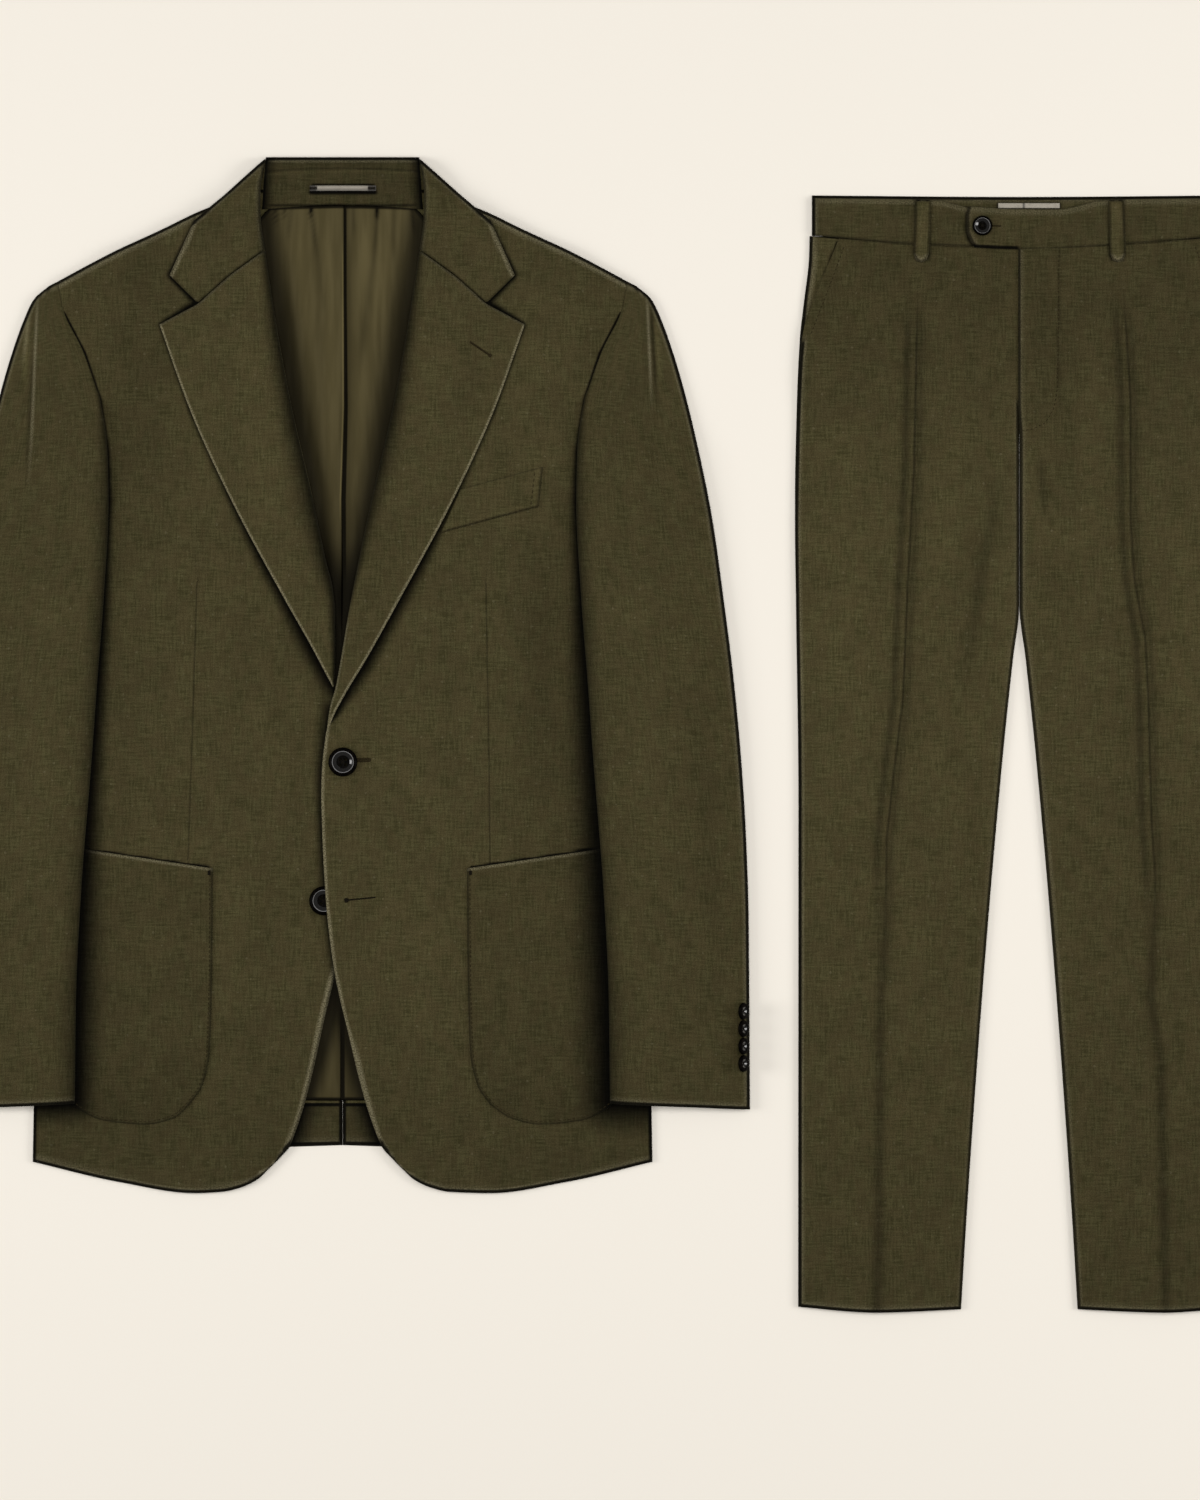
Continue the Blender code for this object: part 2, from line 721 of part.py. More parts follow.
def waistbands(cloth):
    ends = [Point(WAIST_HALF, 0.0), Point(WAIST_HALF, BACK_BAND_FOOT)]
    edges = patch_edges([Point(-p.across, p.down) for p in ends], ends, top=(Point(0, 0.9),))
    stops = (even_stops(6), even_stops(1))
    over = lifted(floor_level, BAND_WALL)
    cloth_piece("waistband_back", cloth, TROUSERS_AT, 1, edges, stops, floor_level, over)

    outer = (WAIST_TOP[-1], WAIST_SEAM[-1])
    columns = (0, 0.1, 0.2, 0.28, 0.42, 0.51, 0.75, 1)
    edges = patch_edges((WAIST_TOP[0], WAIST_SEAM[0]), outer, top=WAIST_TOP[1:-1], bottom=WAIST_SEAM[1:-1])
    over = lifted(band_under, BAND_WALL)
    cloth_piece("waistband_right", cloth, TROUSERS_AT, -1, edges, (columns, even_stops(3)), band_under, over)

    columns = (0, 0.03, 0.1, 0.2, 0.26, 0.32, 0.36, 0.42, 0.61, 0.8, 1)
    edges = patch_edges(TAB_END, outer, top=WAIST_TOP[:-1], bottom=WAIST_SEAM[:-1])
    over = lifted(tab_band_under, BAND_WALL)
    stops = (columns, even_stops(4))
    cloth_piece("waistband_left", cloth, TROUSERS_AT, 1, edges, stops, tab_band_under, over)


def waist_label(tape):
    left, right, top, foot = WAIST_LABEL
    edges = patch_edges((Point(left, top), Point(left, foot)), (Point(right, top), Point(right, foot)))
    over = lifted(band_under, LABEL_WALL)
    stops = (even_stops(2), even_stops(1))
    cloth_piece("waist_label", tape, TROUSERS_AT, 1, edges, stops, band_under, over)


def belt_loops(cloth):
    """Each loop crosses the waistband and its foot is sewn down on the front leg."""
    left, right, top, foot = BELT_LOOP
    edges = patch_edges((Point(left, top), Point(left, foot)), (Point(right, top), Point(right, foot)))

    def under(x, d, s, t):
        on_band = 2 * (BAND_WALL + GAP)
        on_leg = leg_under(x, d, CREASE_STOP, 0) + SLEEVE_WALL + GAP
        return on_band + (on_leg - on_band) * ease(d, 40, 50)

    stops = (even_stops(2), (0, 0.4, 0.76, 0.86, 0.95, 1))
    for side, hand in ((1, "left"), (-1, "right")):
        cloth_piece(f"belt_loop_{hand}", cloth, TROUSERS_AT, side, edges, stops, under, lifted(under, CLOTH))


def waist_button(horn):
    turned = button_mesh("waist_button_profile", *WAIST_BUTTON, steps=20)
    height = tab_band_under(*WAIST_BUTTON_AT, 0, 0) + BAND_WALL + GAP
    add_button("waist_button", turned, horn, TROUSERS_AT, 1, *WAIST_BUTTON_AT, height)


# ---------------------------------------------------------------- the suit


for old in list(bpy.data.objects):
    bpy.data.objects.remove(old)
bpy.context.scene.collection.children.link(SUIT)

olive_cloth = make_material("olive_suiting", (0.055, 0.047, 0.022), 0.85, sheen=0.3)
olive_silk = make_material("olive_lining", (0.075, 0.060, 0.030), 0.45)
grey_tape = make_material("grey_tape", (0.45, 0.42, 0.36), 0.7)
dark_horn = make_material("dark_horn", (0.012, 0.011, 0.010), 0.3)

jacket_backs(olive_cloth)
back_hems(olive_cloth)
back_lining(olive_silk)
jacket_fronts(olive_cloth)
lapels(olive_cloth)
collar_leaves(olive_cloth)
collar_fall(olive_cloth)
collar_stand(olive_cloth)
hanger_loop(grey_tape)
breast_welt(olive_cloth)
patch_pockets(olive_cloth)
sleeves(olive_cloth)
jacket_buttons(dark_horn)
legs(olive_cloth)
pocket_facings(olive_cloth)
waistbands(olive_cloth)
waist_label(grey_tape)
belt_loops(olive_cloth)
waist_button(dark_horn)
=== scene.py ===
"""A two-piece suit in olive wool and linen, laid flat on a pale floor: a notch-lapel jacket and its trousers.

The suit is put together here as a tailor would lay it out, from the cloth that lies lowest to the buttons on
top. Patterns are cut in millimetres: "across" runs out from a garment's centre line, "down" from its top
edge, and a height is measured up from the floor. The wearer's left side lies at +across.
"""

from collections import namedtuple

import bmesh
import bpy
import numpy as np
from mathutils import Matrix, Vector
from mathutils.bvhtree import BVHTree


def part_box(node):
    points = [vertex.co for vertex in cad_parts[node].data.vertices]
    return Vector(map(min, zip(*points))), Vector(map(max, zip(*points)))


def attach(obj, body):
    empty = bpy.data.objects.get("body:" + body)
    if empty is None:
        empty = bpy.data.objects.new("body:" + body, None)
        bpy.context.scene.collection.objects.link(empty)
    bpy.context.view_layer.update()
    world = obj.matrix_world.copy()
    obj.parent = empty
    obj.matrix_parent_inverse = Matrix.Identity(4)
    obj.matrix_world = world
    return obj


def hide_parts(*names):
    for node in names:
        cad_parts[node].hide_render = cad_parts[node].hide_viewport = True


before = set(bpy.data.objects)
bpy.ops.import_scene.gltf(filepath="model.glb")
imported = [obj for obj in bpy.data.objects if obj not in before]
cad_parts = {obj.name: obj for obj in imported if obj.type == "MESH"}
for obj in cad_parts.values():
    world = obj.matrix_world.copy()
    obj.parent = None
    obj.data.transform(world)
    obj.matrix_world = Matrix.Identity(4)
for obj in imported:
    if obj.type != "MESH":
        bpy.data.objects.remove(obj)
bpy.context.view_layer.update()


# ---------------------------------------------------------------- the floor, the lamps and the camera
# A pale cream floor takes the suit. One wide soft lamp hangs above it and two stand to its left and right, so
# that every turned edge throws a short soft shade to both sides. The camera looks straight down a long lens.

MM = 0.001
FLOOR_CREAM = (0.82, 0.78, 0.71)
FLOOR_REACH = 20.0
VIEW_LEVEL = 4.0
VIEW_CENTRE = (9.75, -12.2)
VIEW_TALL = 1200.0
SIDE_LAMP_AT = (2900.0, -60.0, 1450.0)
SIDE_LAMP_WIDE = 1200.0
SIDE_LAMP_POWER = 42.0
TOP_LAMP_AT = (0.0, 330.0, 3300.0)
TOP_LAMP_WIDE = 1900.0
TOP_LAMP_POWER = 57.0
ROOM_LIGHT = 0.31
ROOM_COLOUR = (1, 0.985, 0.96)
LAMP_COLOUR = (1.0, 0.985, 0.965)
SENSOR_WIDE = 36.0
LENS_OVER_SENSOR = 120.0 / SENSOR_WIDE


def add_lamp(name, at, wide, power):
    """A square soft lamp that faces the middle of the suit."""
    lamp = bpy.data.lights.new(name, "AREA")
    lamp.size = wide * MM
    lamp.energy = power
    lamp.color = LAMP_COLOUR
    place = Vector(at) * MM
    stand = bpy.data.objects.new(name, lamp)
    stand.matrix_world = Matrix.Translation(place) @ place.to_track_quat("Z", "Y").to_matrix().to_4x4()
    bpy.context.scene.collection.objects.link(stand)


def mesh_of(bm, name):
    """The mesh that a bmesh has shaped, which is then let go."""
    mesh = bpy.data.meshes.new(name)
    bm.to_mesh(mesh)
    bm.free()
    return mesh


def new_material(name):
    """A material with the tree of its nodes and its shader."""
    material = bpy.data.materials.new(name)
    material.use_nodes = True
    return material, material.node_tree, material.node_tree.nodes["Principled BSDF"]


def add_floor():
    bm = bmesh.new()
    bmesh.ops.create_grid(bm, x_segments=2, y_segments=2, size=FLOOR_REACH)
    mesh = mesh_of(bm, "floor")
    floor = bpy.data.objects.new("floor", mesh)
    bpy.context.scene.collection.objects.link(floor)
    paint, _, shader = new_material("floor_cream")
    shader.inputs["Base Color"].default_value = (*FLOOR_CREAM, 1)
    shader.inputs["Roughness"].default_value = 0.9
    shader.inputs["Specular IOR Level"].default_value = 0.1
    mesh.materials.append(paint)


def add_camera():
    lens = bpy.data.cameras.new("camera")
    lens.sensor_width = SENSOR_WIDE
    lens.lens = SENSOR_WIDE * LENS_OVER_SENSOR
    lens.clip_end = 60
    camera = bpy.data.objects.new("camera", lens)
    camera.location = Vector((*VIEW_CENTRE, VIEW_TALL * LENS_OVER_SENSOR + VIEW_LEVEL)) * MM
    bpy.context.scene.collection.objects.link(camera)
    bpy.context.scene.camera = camera


add_floor()
add_camera()
for turn in (-1, 1):
    at = (turn * SIDE_LAMP_AT[0], *SIDE_LAMP_AT[1:])
    add_lamp(f"side_lamp_{'left' if turn < 0 else 'right'}", at, SIDE_LAMP_WIDE, SIDE_LAMP_POWER)
add_lamp("top_lamp", TOP_LAMP_AT, TOP_LAMP_WIDE, TOP_LAMP_POWER)
world = bpy.data.worlds.new("room")
world.use_nodes = True
world.node_tree.nodes["Background"].inputs["Color"].default_value = (*ROOM_COLOUR, 1)
world.node_tree.nodes["Background"].inputs["Strength"].default_value = ROOM_LIGHT
bpy.context.scene.world = world
bpy.context.scene.view_settings.view_transform = "Standard"


# ---------------------------------------------------------------- the suiting
# The suit is cut from one cloth, a plain weave of wool and linen in dark olive. Its yarn swells in places and
# leaves short slubs along and across the cloth, a few pale flecks, and a mottling between green and brown.

OLIVE_DARK = (0.0348, 0.0306, 0.0118)
OLIVE_LIGHT = (0.0590, 0.0520, 0.0220)
OLIVE_BROWN = (0.0535, 0.0408, 0.0182)
# A pale olive for the yarn's real flecks and for the painted highlight along turned edges.
OLIVE_FLECK_AND_HIGHLIGHT = (0.155, 0.138, 0.083)
DEEPEST_SHADE = 0.97
SLUB_LONG, SLUB_WIDE = 15.0, 1.5
YARN_PITCH = 1.1
ONE_WAVE = 6.283
MOTTLE_SIZE = 11.0
CLOUD_SIZE = 24.0
FLECK_SIZE = 3.4
GRAIN_SIZE = 1.0


def add_node(tree, kind, **values):
    node = tree.nodes.new(kind)
    for key, value in values.items():
        setattr(node, key, value)
    return node


def feed(tree, node, **inputs):
    """Sets a node's inputs by name: a socket is linked, and anything else is its value."""
    for key, value in inputs.items():
        socket = node.inputs[int(key[1:])] if key[0] == "i" and key[1:].isdigit() else node.inputs[key]
        if isinstance(value, bpy.types.NodeSocket):
            tree.links.new(value, socket)
        else:
            socket.default_value = value
    return node


def math_node(tree, operation, first, second=0.0, clamp=False):
    node = add_node(tree, "ShaderNodeMath", operation=operation, use_clamp=clamp)
    return feed(tree, node, i0=first, i1=second).outputs[0]


def stretched(tree, value, low, high, to_low=0.0, to_high=1.0):
    """A value between low and high as one between to_low and to_high, with soft ends."""
    node = add_node(tree, "ShaderNodeMapRange", interpolation_type="SMOOTHSTEP")
    return feed(tree, node, i0=value, i1=low, i2=high, i3=to_low, i4=to_high).outputs[0]


def scaled(tree, vector, across, along):
    """The pattern's coordinates, in metres, counted in widths and lengths given in millimetres."""
    node = add_node(tree, "ShaderNodeVectorMath", operation="MULTIPLY")
    return feed(tree, node, i0=vector, i1=(1 / (across * MM), 1 / (along * MM), 1)).outputs[0]


def noise(tree, vector, detail=2.0):
    node = add_node(tree, "ShaderNodeTexNoise", noise_dimensions="2D")
    return feed(tree, node, Vector=vector, Scale=1.0, Detail=detail).outputs["Fac"]


def mixed(tree, share, first, second, blend="MIX"):
    node = add_node(tree, "ShaderNodeMix", data_type="RGBA", blend_type=blend)
    return feed(tree, node, i0=share, i6=first, i7=second).outputs[2]


def make_slub_weave():
    """The cloth's pattern as masks from 0 to 1, and the height of its yarns."""
    group = bpy.data.node_groups.new("slub_weave", "ShaderNodeTree")
    group.interface.new_socket("Cut", in_out="INPUT", socket_type="NodeSocketVector")
    for name in ("Slub", "Mottle", "Cloud", "Fleck", "Grain", "Height"):
        group.interface.new_socket(name, in_out="OUTPUT", socket_type="NodeSocketFloat")
    cut = add_node(group, "NodeGroupInput").outputs["Cut"]
    out = add_node(group, "NodeGroupOutput")
    warp = noise(group, scaled(group, cut, SLUB_WIDE, SLUB_LONG))
    weft = noise(group, scaled(group, cut, SLUB_LONG, SLUB_WIDE))
    slub = math_node(group, "ADD", warp, weft)
    mottle = noise(group, scaled(group, cut, MOTTLE_SIZE, MOTTLE_SIZE * 1.5), 4.0)
    cloud = noise(group, scaled(group, cut, CLOUD_SIZE, CLOUD_SIZE * 1.5), 3.0)
    fleck = noise(group, scaled(group, cut, FLECK_SIZE, FLECK_SIZE), 0.0)
    grain = noise(group, scaled(group, cut, GRAIN_SIZE, GRAIN_SIZE), 1.0)
    wave = add_node(group, "ShaderNodeVectorMath", operation="SINE")
    feed(group, wave, i0=scaled(group, cut, YARN_PITCH / ONE_WAVE, YARN_PITCH / ONE_WAVE))
    yarns = add_node(group, "ShaderNodeSeparateXYZ")
    feed(group, yarns, i0=wave.outputs[0])
    crossing = math_node(group, "MULTIPLY", yarns.outputs[0], yarns.outputs[1])
    height = math_node(group, "ADD", math_node(group, "MULTIPLY", crossing, 0.25), slub)
    feed(
        group,
        out,
        Slub=stretched(group, slub, 0.66, 1.34),
        Mottle=stretched(group, mottle, 0.34, 0.66),
        Cloud=stretched(group, cloud, 0.3, 0.7),
        Fleck=stretched(group, fleck, 0.82, 0.92),
        Grain=stretched(group, grain, 0.2, 0.8),
        Height=height,
    )
    return group


def cut_of(tree):
    """The pattern's coordinates."""
    return add_node(tree, "ShaderNodeUVMap", uv_map="cut").outputs[0]


def attribute(tree, name):
    node = add_node(tree, "ShaderNodeAttribute", attribute_name=name)
    return node.outputs["Fac"]


def kept_from_light(tree, deepest):
    """How much light reaches the cloth beside an edge that stands over it."""
    return stretched(tree, attribute(tree, "shade_gap"), 0.0, 1.0, 1 - deepest, 1.0)


def darkened(tree, colour, light):
    """A colour in a share of the full light."""
    grey = add_node(tree, "ShaderNodeCombineColor")
    feed(tree, grey, i0=light, i1=light, i2=light)
    return mixed(tree, 1.0, colour, grey.outputs[0], "MULTIPLY")


def bumped(tree, strength, distance, height):
    """The relief of a surface, distance millimetres high where height is 1."""
    node = add_node(tree, "ShaderNodeBump")
    return feed(tree, node, Strength=strength, Distance=distance * MM, Height=height).outputs[0]


def finished(tree, shader, colour, roughness, relief):
    feed(tree, shader, **{"Base Color": colour, "Roughness": roughness, "Normal": relief})


def make_suiting():
    """The suiting: a painted highlight on turned edges, painted shade in sewn seams, folds and beside edges.
    """
    material, tree, shader = new_material("olive_suiting")
    cut = cut_of(tree)
    weave = add_node(tree, "ShaderNodeGroup", node_tree=SLUB_WEAVE)
    feed(tree, weave, Cut=cut)
    uneven = stretched(tree, weave.outputs["Grain"], 0.1, 0.9, 0.4, 1.35)
    # Painted highlight along turned edges and on a few creases, broken up by the grain.
    painted_highlight = math_node(tree, "MULTIPLY", attribute(tree, "painted_highlight"), uneven, clamp=True)
    seam = math_node(tree, "ABSOLUTE", attribute(tree, "seam"))
    # Painted light and shade: the tone attribute and the shade beside edges that stand over the cloth darken
    # its colour; the cloud and the grain below are the cloth's own.
    shade = math_node(tree, "MULTIPLY", stretched(tree, seam, 0.25, 1.0, 0.6, 1.0), attribute(tree, "tone"))
    shade = math_node(tree, "MULTIPLY", shade, kept_from_light(tree, DEEPEST_SHADE))
    clouded = stretched(tree, weave.outputs["Cloud"], 0.0, 1.0, 0.95, 1.05)
    shade = math_node(tree, "MULTIPLY", shade, clouded)
    colour = mixed(tree, weave.outputs["Slub"], (*OLIVE_DARK, 1), (*OLIVE_LIGHT, 1))
    browned = math_node(tree, "MULTIPLY", weave.outputs["Mottle"], 0.5)
    colour = mixed(tree, browned, colour, (*OLIVE_BROWN, 1))
    flecked = math_node(tree, "MULTIPLY", weave.outputs["Fleck"], 0.2)
    colour = mixed(tree, flecked, colour, (*OLIVE_FLECK_AND_HIGHLIGHT, 1))
    grain = stretched(tree, weave.outputs["Grain"], 0.0, 1.0, 0.84, 1.16)
    shade = math_node(tree, "MULTIPLY", shade, grain)
    colour = darkened(tree, mixed(tree, painted_highlight, colour, (*OLIVE_FLECK_AND_HIGHLIGHT, 1)), shade)
    groove = stretched(tree, seam, 0.0, 1.3, -2.0, 0.0)
    relief = math_node(tree, "ADD", weave.outputs["Height"], groove)
    roughness = stretched(tree, weave.outputs["Slub"], 0.0, 1.0, 0.92, 0.8)
    finished(tree, shader, colour, roughness, bumped(tree, 0.5, 0.22, relief))
    shader.inputs["Sheen Weight"].default_value = 0.03
    shader.inputs["Sheen Roughness"].default_value = 0.5
    shader.inputs["Sheen Tint"].default_value = (0.8, 0.75, 0.5, 1)
    shader.inputs["Specular IOR Level"].default_value = 0.04
    return material


SLUB_WEAVE = make_slub_weave()
SUITING = make_suiting()


# ---------------------------------------------------------------- jacket: the back
# The back is two panels joined down the centre. It lies face down on the floor under everything else, so only
# its hem shows between the fronts, turned up in a deep band and pressed flat.

Point = namedtuple("Point", "across down")


def line_of(*pairs):
    """A line through places (across, down) in a garment's pattern."""
    return tuple(Point(*pair) for pair in pairs)


def mirrored(edge):
    return tuple(Point(-p.across, p.down) for p in edge)


SIDES = ((1, "left"), (-1, "right"))
collar_low, collar_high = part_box("collar_stand")
JACKET_AT = ((collar_low.x + collar_high.x) / 2 / MM, collar_high.y / MM)
GAP = 0.3
CLOTH = 1.2
HALF_SEAM = 0.2
NECK_POINT = Point(65.5, 25.5)
SHOULDER_POINT = Point(227.6, 99.5)
SHOULDER_CURVE = line_of((114, 43.6), (142, 57), (180, 74.6), (206, 87.8))
ARMHOLE = line_of(
    (223.8, 121), (206.8, 157), (194.8, 194), (188.8, 235), (196, 270), (222, 295), (250, 306),
)
SIDE_SEAM = line_of((242, 420), (240, 520), (245, 650), (248, 804))
BACK_HEM = line_of((HALF_SEAM, 790.8), (120, 795), (248, 804))
HEM_BAND_TOP, HEM_BAND_FOOT, HEM_BAND_HALF = 757.0, 790.2, 78.0
HEM_WALL = 1.3


def ease(value, start, end):
    """0 at start and 1 at end, with a soft S between."""
    share = np.clip((value - start) / (end - start), 0, 1)
    return share * share * (3 - 2 * share)


def bulge(distance, reach):
    """A round shoulder: 0 at an edge and 1 from reach onwards, rising steeply first."""
    return np.sqrt(1 - (1 - np.clip(distance / reach, 0, 1)) ** 2)


def smooth_through(places, values):
    """A curve through marks that never swings past them."""
    places, values = np.array(places, float), np.array(values, float)
    steps = np.diff(places)
    rises = np.diff(values) / steps
    product = rises[:-1] * rises[1:]
    same_way = product > 0
    total = np.where(same_way, rises[:-1] + rises[1:], 1)
    slopes = np.concatenate((rises[:1], np.where(same_way, 2 * product / total, 0), rises[-1:]))

    def at(place):
        i = np.clip(np.searchsorted(places, place) - 1, 0, len(steps) - 1)
        t = (place - places[i]) / steps[i]
        start = (1 + 2 * t) * (1 - t) ** 2 * values[i] + t * (1 - t) ** 2 * steps[i] * slopes[i]
        end = t * t * (3 - 2 * t) * values[i + 1] + t * t * (t - 1) * steps[i] * slopes[i + 1]
        return start + end

    return at


def edge_down(points):
    """An edge that runs down the garment, read at a fraction of its drop, as across + down * 1j."""
    first, last = points[0].down, points[-1].down
    across_at = smooth_through([p.down for p in points], [p.across for p in points])
    return lambda t: across_at(first + t * (last - first)) + 1j * (first + t * (last - first))


def edge_across(points, cornered):
    """An edge that runs across the garment. A cornered one keeps its corners."""
    acrosses, downs = [p.across for p in points], [p.down for p in points]
    smooth_at = smooth_through(acrosses, downs)

    def at(s):
        across = acrosses[0] + s * (acrosses[-1] - acrosses[0])
        return across + 1j * (np.interp(across, acrosses, downs) if cornered else smooth_at(across))

    return at


def pattern(inner, outer, top=(), bottom=(), cornered=False):
    """The four edges of a piece. top and bottom name only the points between its corners."""
    return (
        edge_down(inner),
        edge_down(outer),
        edge_across((inner[0], *top, outer[0]), cornered),
        edge_across((inner[-1], *bottom, outer[-1]), cornered),
    )


def spot(edges, s, t):
    """The place in the pattern at the fractions s across it and t down it."""
    inner, outer, top, bottom = edges
    sides = (1 - s) * inner(t) + s * outer(t)
    ends = (1 - t) * top(s) + t * bottom(s)
    top_corners = (1 - t) * ((1 - s) * inner(0.0) + s * outer(0.0))
    bottom_corners = t * ((1 - s) * inner(1.0) + s * outer(1.0))
    return sides + ends - top_corners - bottom_corners


def gap_to(edge, share, places):
    """How far places lie from an edge, square to it."""
    step = 0.002
    run = edge(np.minimum(share + step, 1)) - edge(np.maximum(share - step, 0))
    return np.abs(((places - edge(share)) * run.conjugate()).imag) / np.abs(run)


def edge_gaps(edges, s, t):
    """The gaps to the inner, outer, top and bottom edges, stacked."""
    places = spot(edges, s, t)
    return np.stack([gap_to(edge, share, places) for edge, share in zip(edges, (t, t, s, s))])


def fine_stops(length, cell):
    """Fractions of a length, close together at both turned edges and a cell apart between."""
    rim = np.array((0, 0.3, 0.7, 1.1, 1.6, 2.3, 3.2, 4.4))
    rim = rim[rim < 0.4 * length]
    middle = np.arange(rim[-1] + cell, length - rim[-1] - 0.5 * cell, cell)
    return np.concatenate((rim, middle, length - rim[::-1])) / length


def flat_shell(name, columns, rows, flipped):
    """A closed wall of cells, one high, that a piece's under face and upper face are then shaped from."""
    bm = bmesh.new()
    bmesh.ops.create_grid(bm, x_segments=columns, y_segments=rows, size=0.5)
    extruded = bmesh.ops.extrude_face_region(bm, geom=bm.faces[:], use_keep_orig=True)
    upper = [v for v in extruded["geom"] if isinstance(v, bmesh.types.BMVert)]
    bmesh.ops.translate(bm, verts=upper, vec=(0, 0, 1))
    bmesh.ops.recalc_face_normals(bm, faces=bm.faces[:])
    if flipped:
        bmesh.ops.reverse_faces(bm, faces=bm.faces[:])
    return mesh_of(bm, name)


def even(value):
    """The same height or mark all over a piece."""
    return lambda x, d, s, t: np.full_like(x, value)


def raised(face, lift):
    return lambda x, d, s, t: face(x, d, s, t) + lift


# No painted highlight besides the ones along the edges.
def no_extra_highlights(x, d):
    return np.zeros_like(x)


def add_piece(mesh, name, material):
    mesh.materials.append(material)
    mesh.shade_smooth()
    piece = bpy.data.objects.new(name, mesh)
    bpy.context.scene.collection.objects.link(piece)
    return piece


def set_attribute(mesh, name, values):
    layer = mesh.attributes.new(name, "FLOAT", "POINT")
    layer.data.foreach_set("value", values.astype(np.float32))


INNER, OUTER, TOP, FOOT = range(4)
ALL_ROUND = {INNER: 1.0, OUTER: 1.0, TOP: 1.0, FOOT: 1.0}
INWARD, NEITHER, OUTWARD = -1, 0, 1
DEEP_UNDER = 4.0
NOWHERE = {}
ALL_ALONG = -99
FAR_FROM_SEAMS = 10.0
SHADE_ENDS = 1.2
THIN_AT_EDGES = 0.3
# The painted shade along edges where the cloth turns under.
OUTLINE_WITHIN = (0.0, 1.4)
OUTLINE_DEEPER = 2.0
DARKEST_OUTLINE = 0.95
ShadeLine = namedtuple("ShadeLine", "covered marks start")


def shade_line(side, covered, *marks, start=0.0):
    """An edge as marks (x, down, reach of its shade), and the side of it that the piece throwing it is on."""
    return ShadeLine(side * covered, [(complex(side * x, down), reach) for x, down, reach in marks], start)


def shade_gap(lines, x, d):
    """The distance to the nearest edge that stands over the cloth, counted in how far its shade reaches.

    It runs on below 0 where the cloth lies under the rim of the piece that throws the shade.
    """
    nearest = np.full_like(x, SHADE_ENDS)
    for line in lines:
        gap, under = np.full_like(x, 99.0), np.zeros_like(x, bool)
        last = len(line.marks) - 2
        for i, ((first, reach), (second, to_reach)) in enumerate(zip(line.marks, line.marks[1:])):
            run = second - first
            from_start = (x + 1j * d - first) * run.conjugate() / abs(run)
            share = np.clip(from_start.real / abs(run), 0, 1)
            away = np.abs(from_start - share * abs(run)) / (reach + share * (to_reach - reach))
            closer = away - 0.001 * np.abs(from_start.imag) < gap
            beyond = (i == 0) & (from_start.real < 0) | (i == last) & (from_start.real > abs(run))
            gap = np.where(closer, away, gap)
            covered = (from_start.imag * line.covered < 0) & ~beyond & (away < DEEP_UNDER)
            under = np.where(closer, covered, under)
        nearest = np.minimum(nearest, line.start + gap * np.where(under, -1, 1))
    return np.maximum(nearest, -SHADE_ENDS)


def edge_band(gaps, d, strengths, since, within, deeper=0.0):
    """How strongly a piece is marked along its edges, fading between the two distances inside them.

    Where it is given, deeper is how much further in the strongest mark reaches.
    """
    total = np.zeros_like(d)
    for edge, strength in strengths.items():
        start = since.get(edge, ALL_ALONG)
        inside = gaps[edge] - deeper * strength
        band = strength * (1 - ease(inside, *within)) * ease(d, start - 6, start + 2)
        total = np.maximum(total, band)
    return total


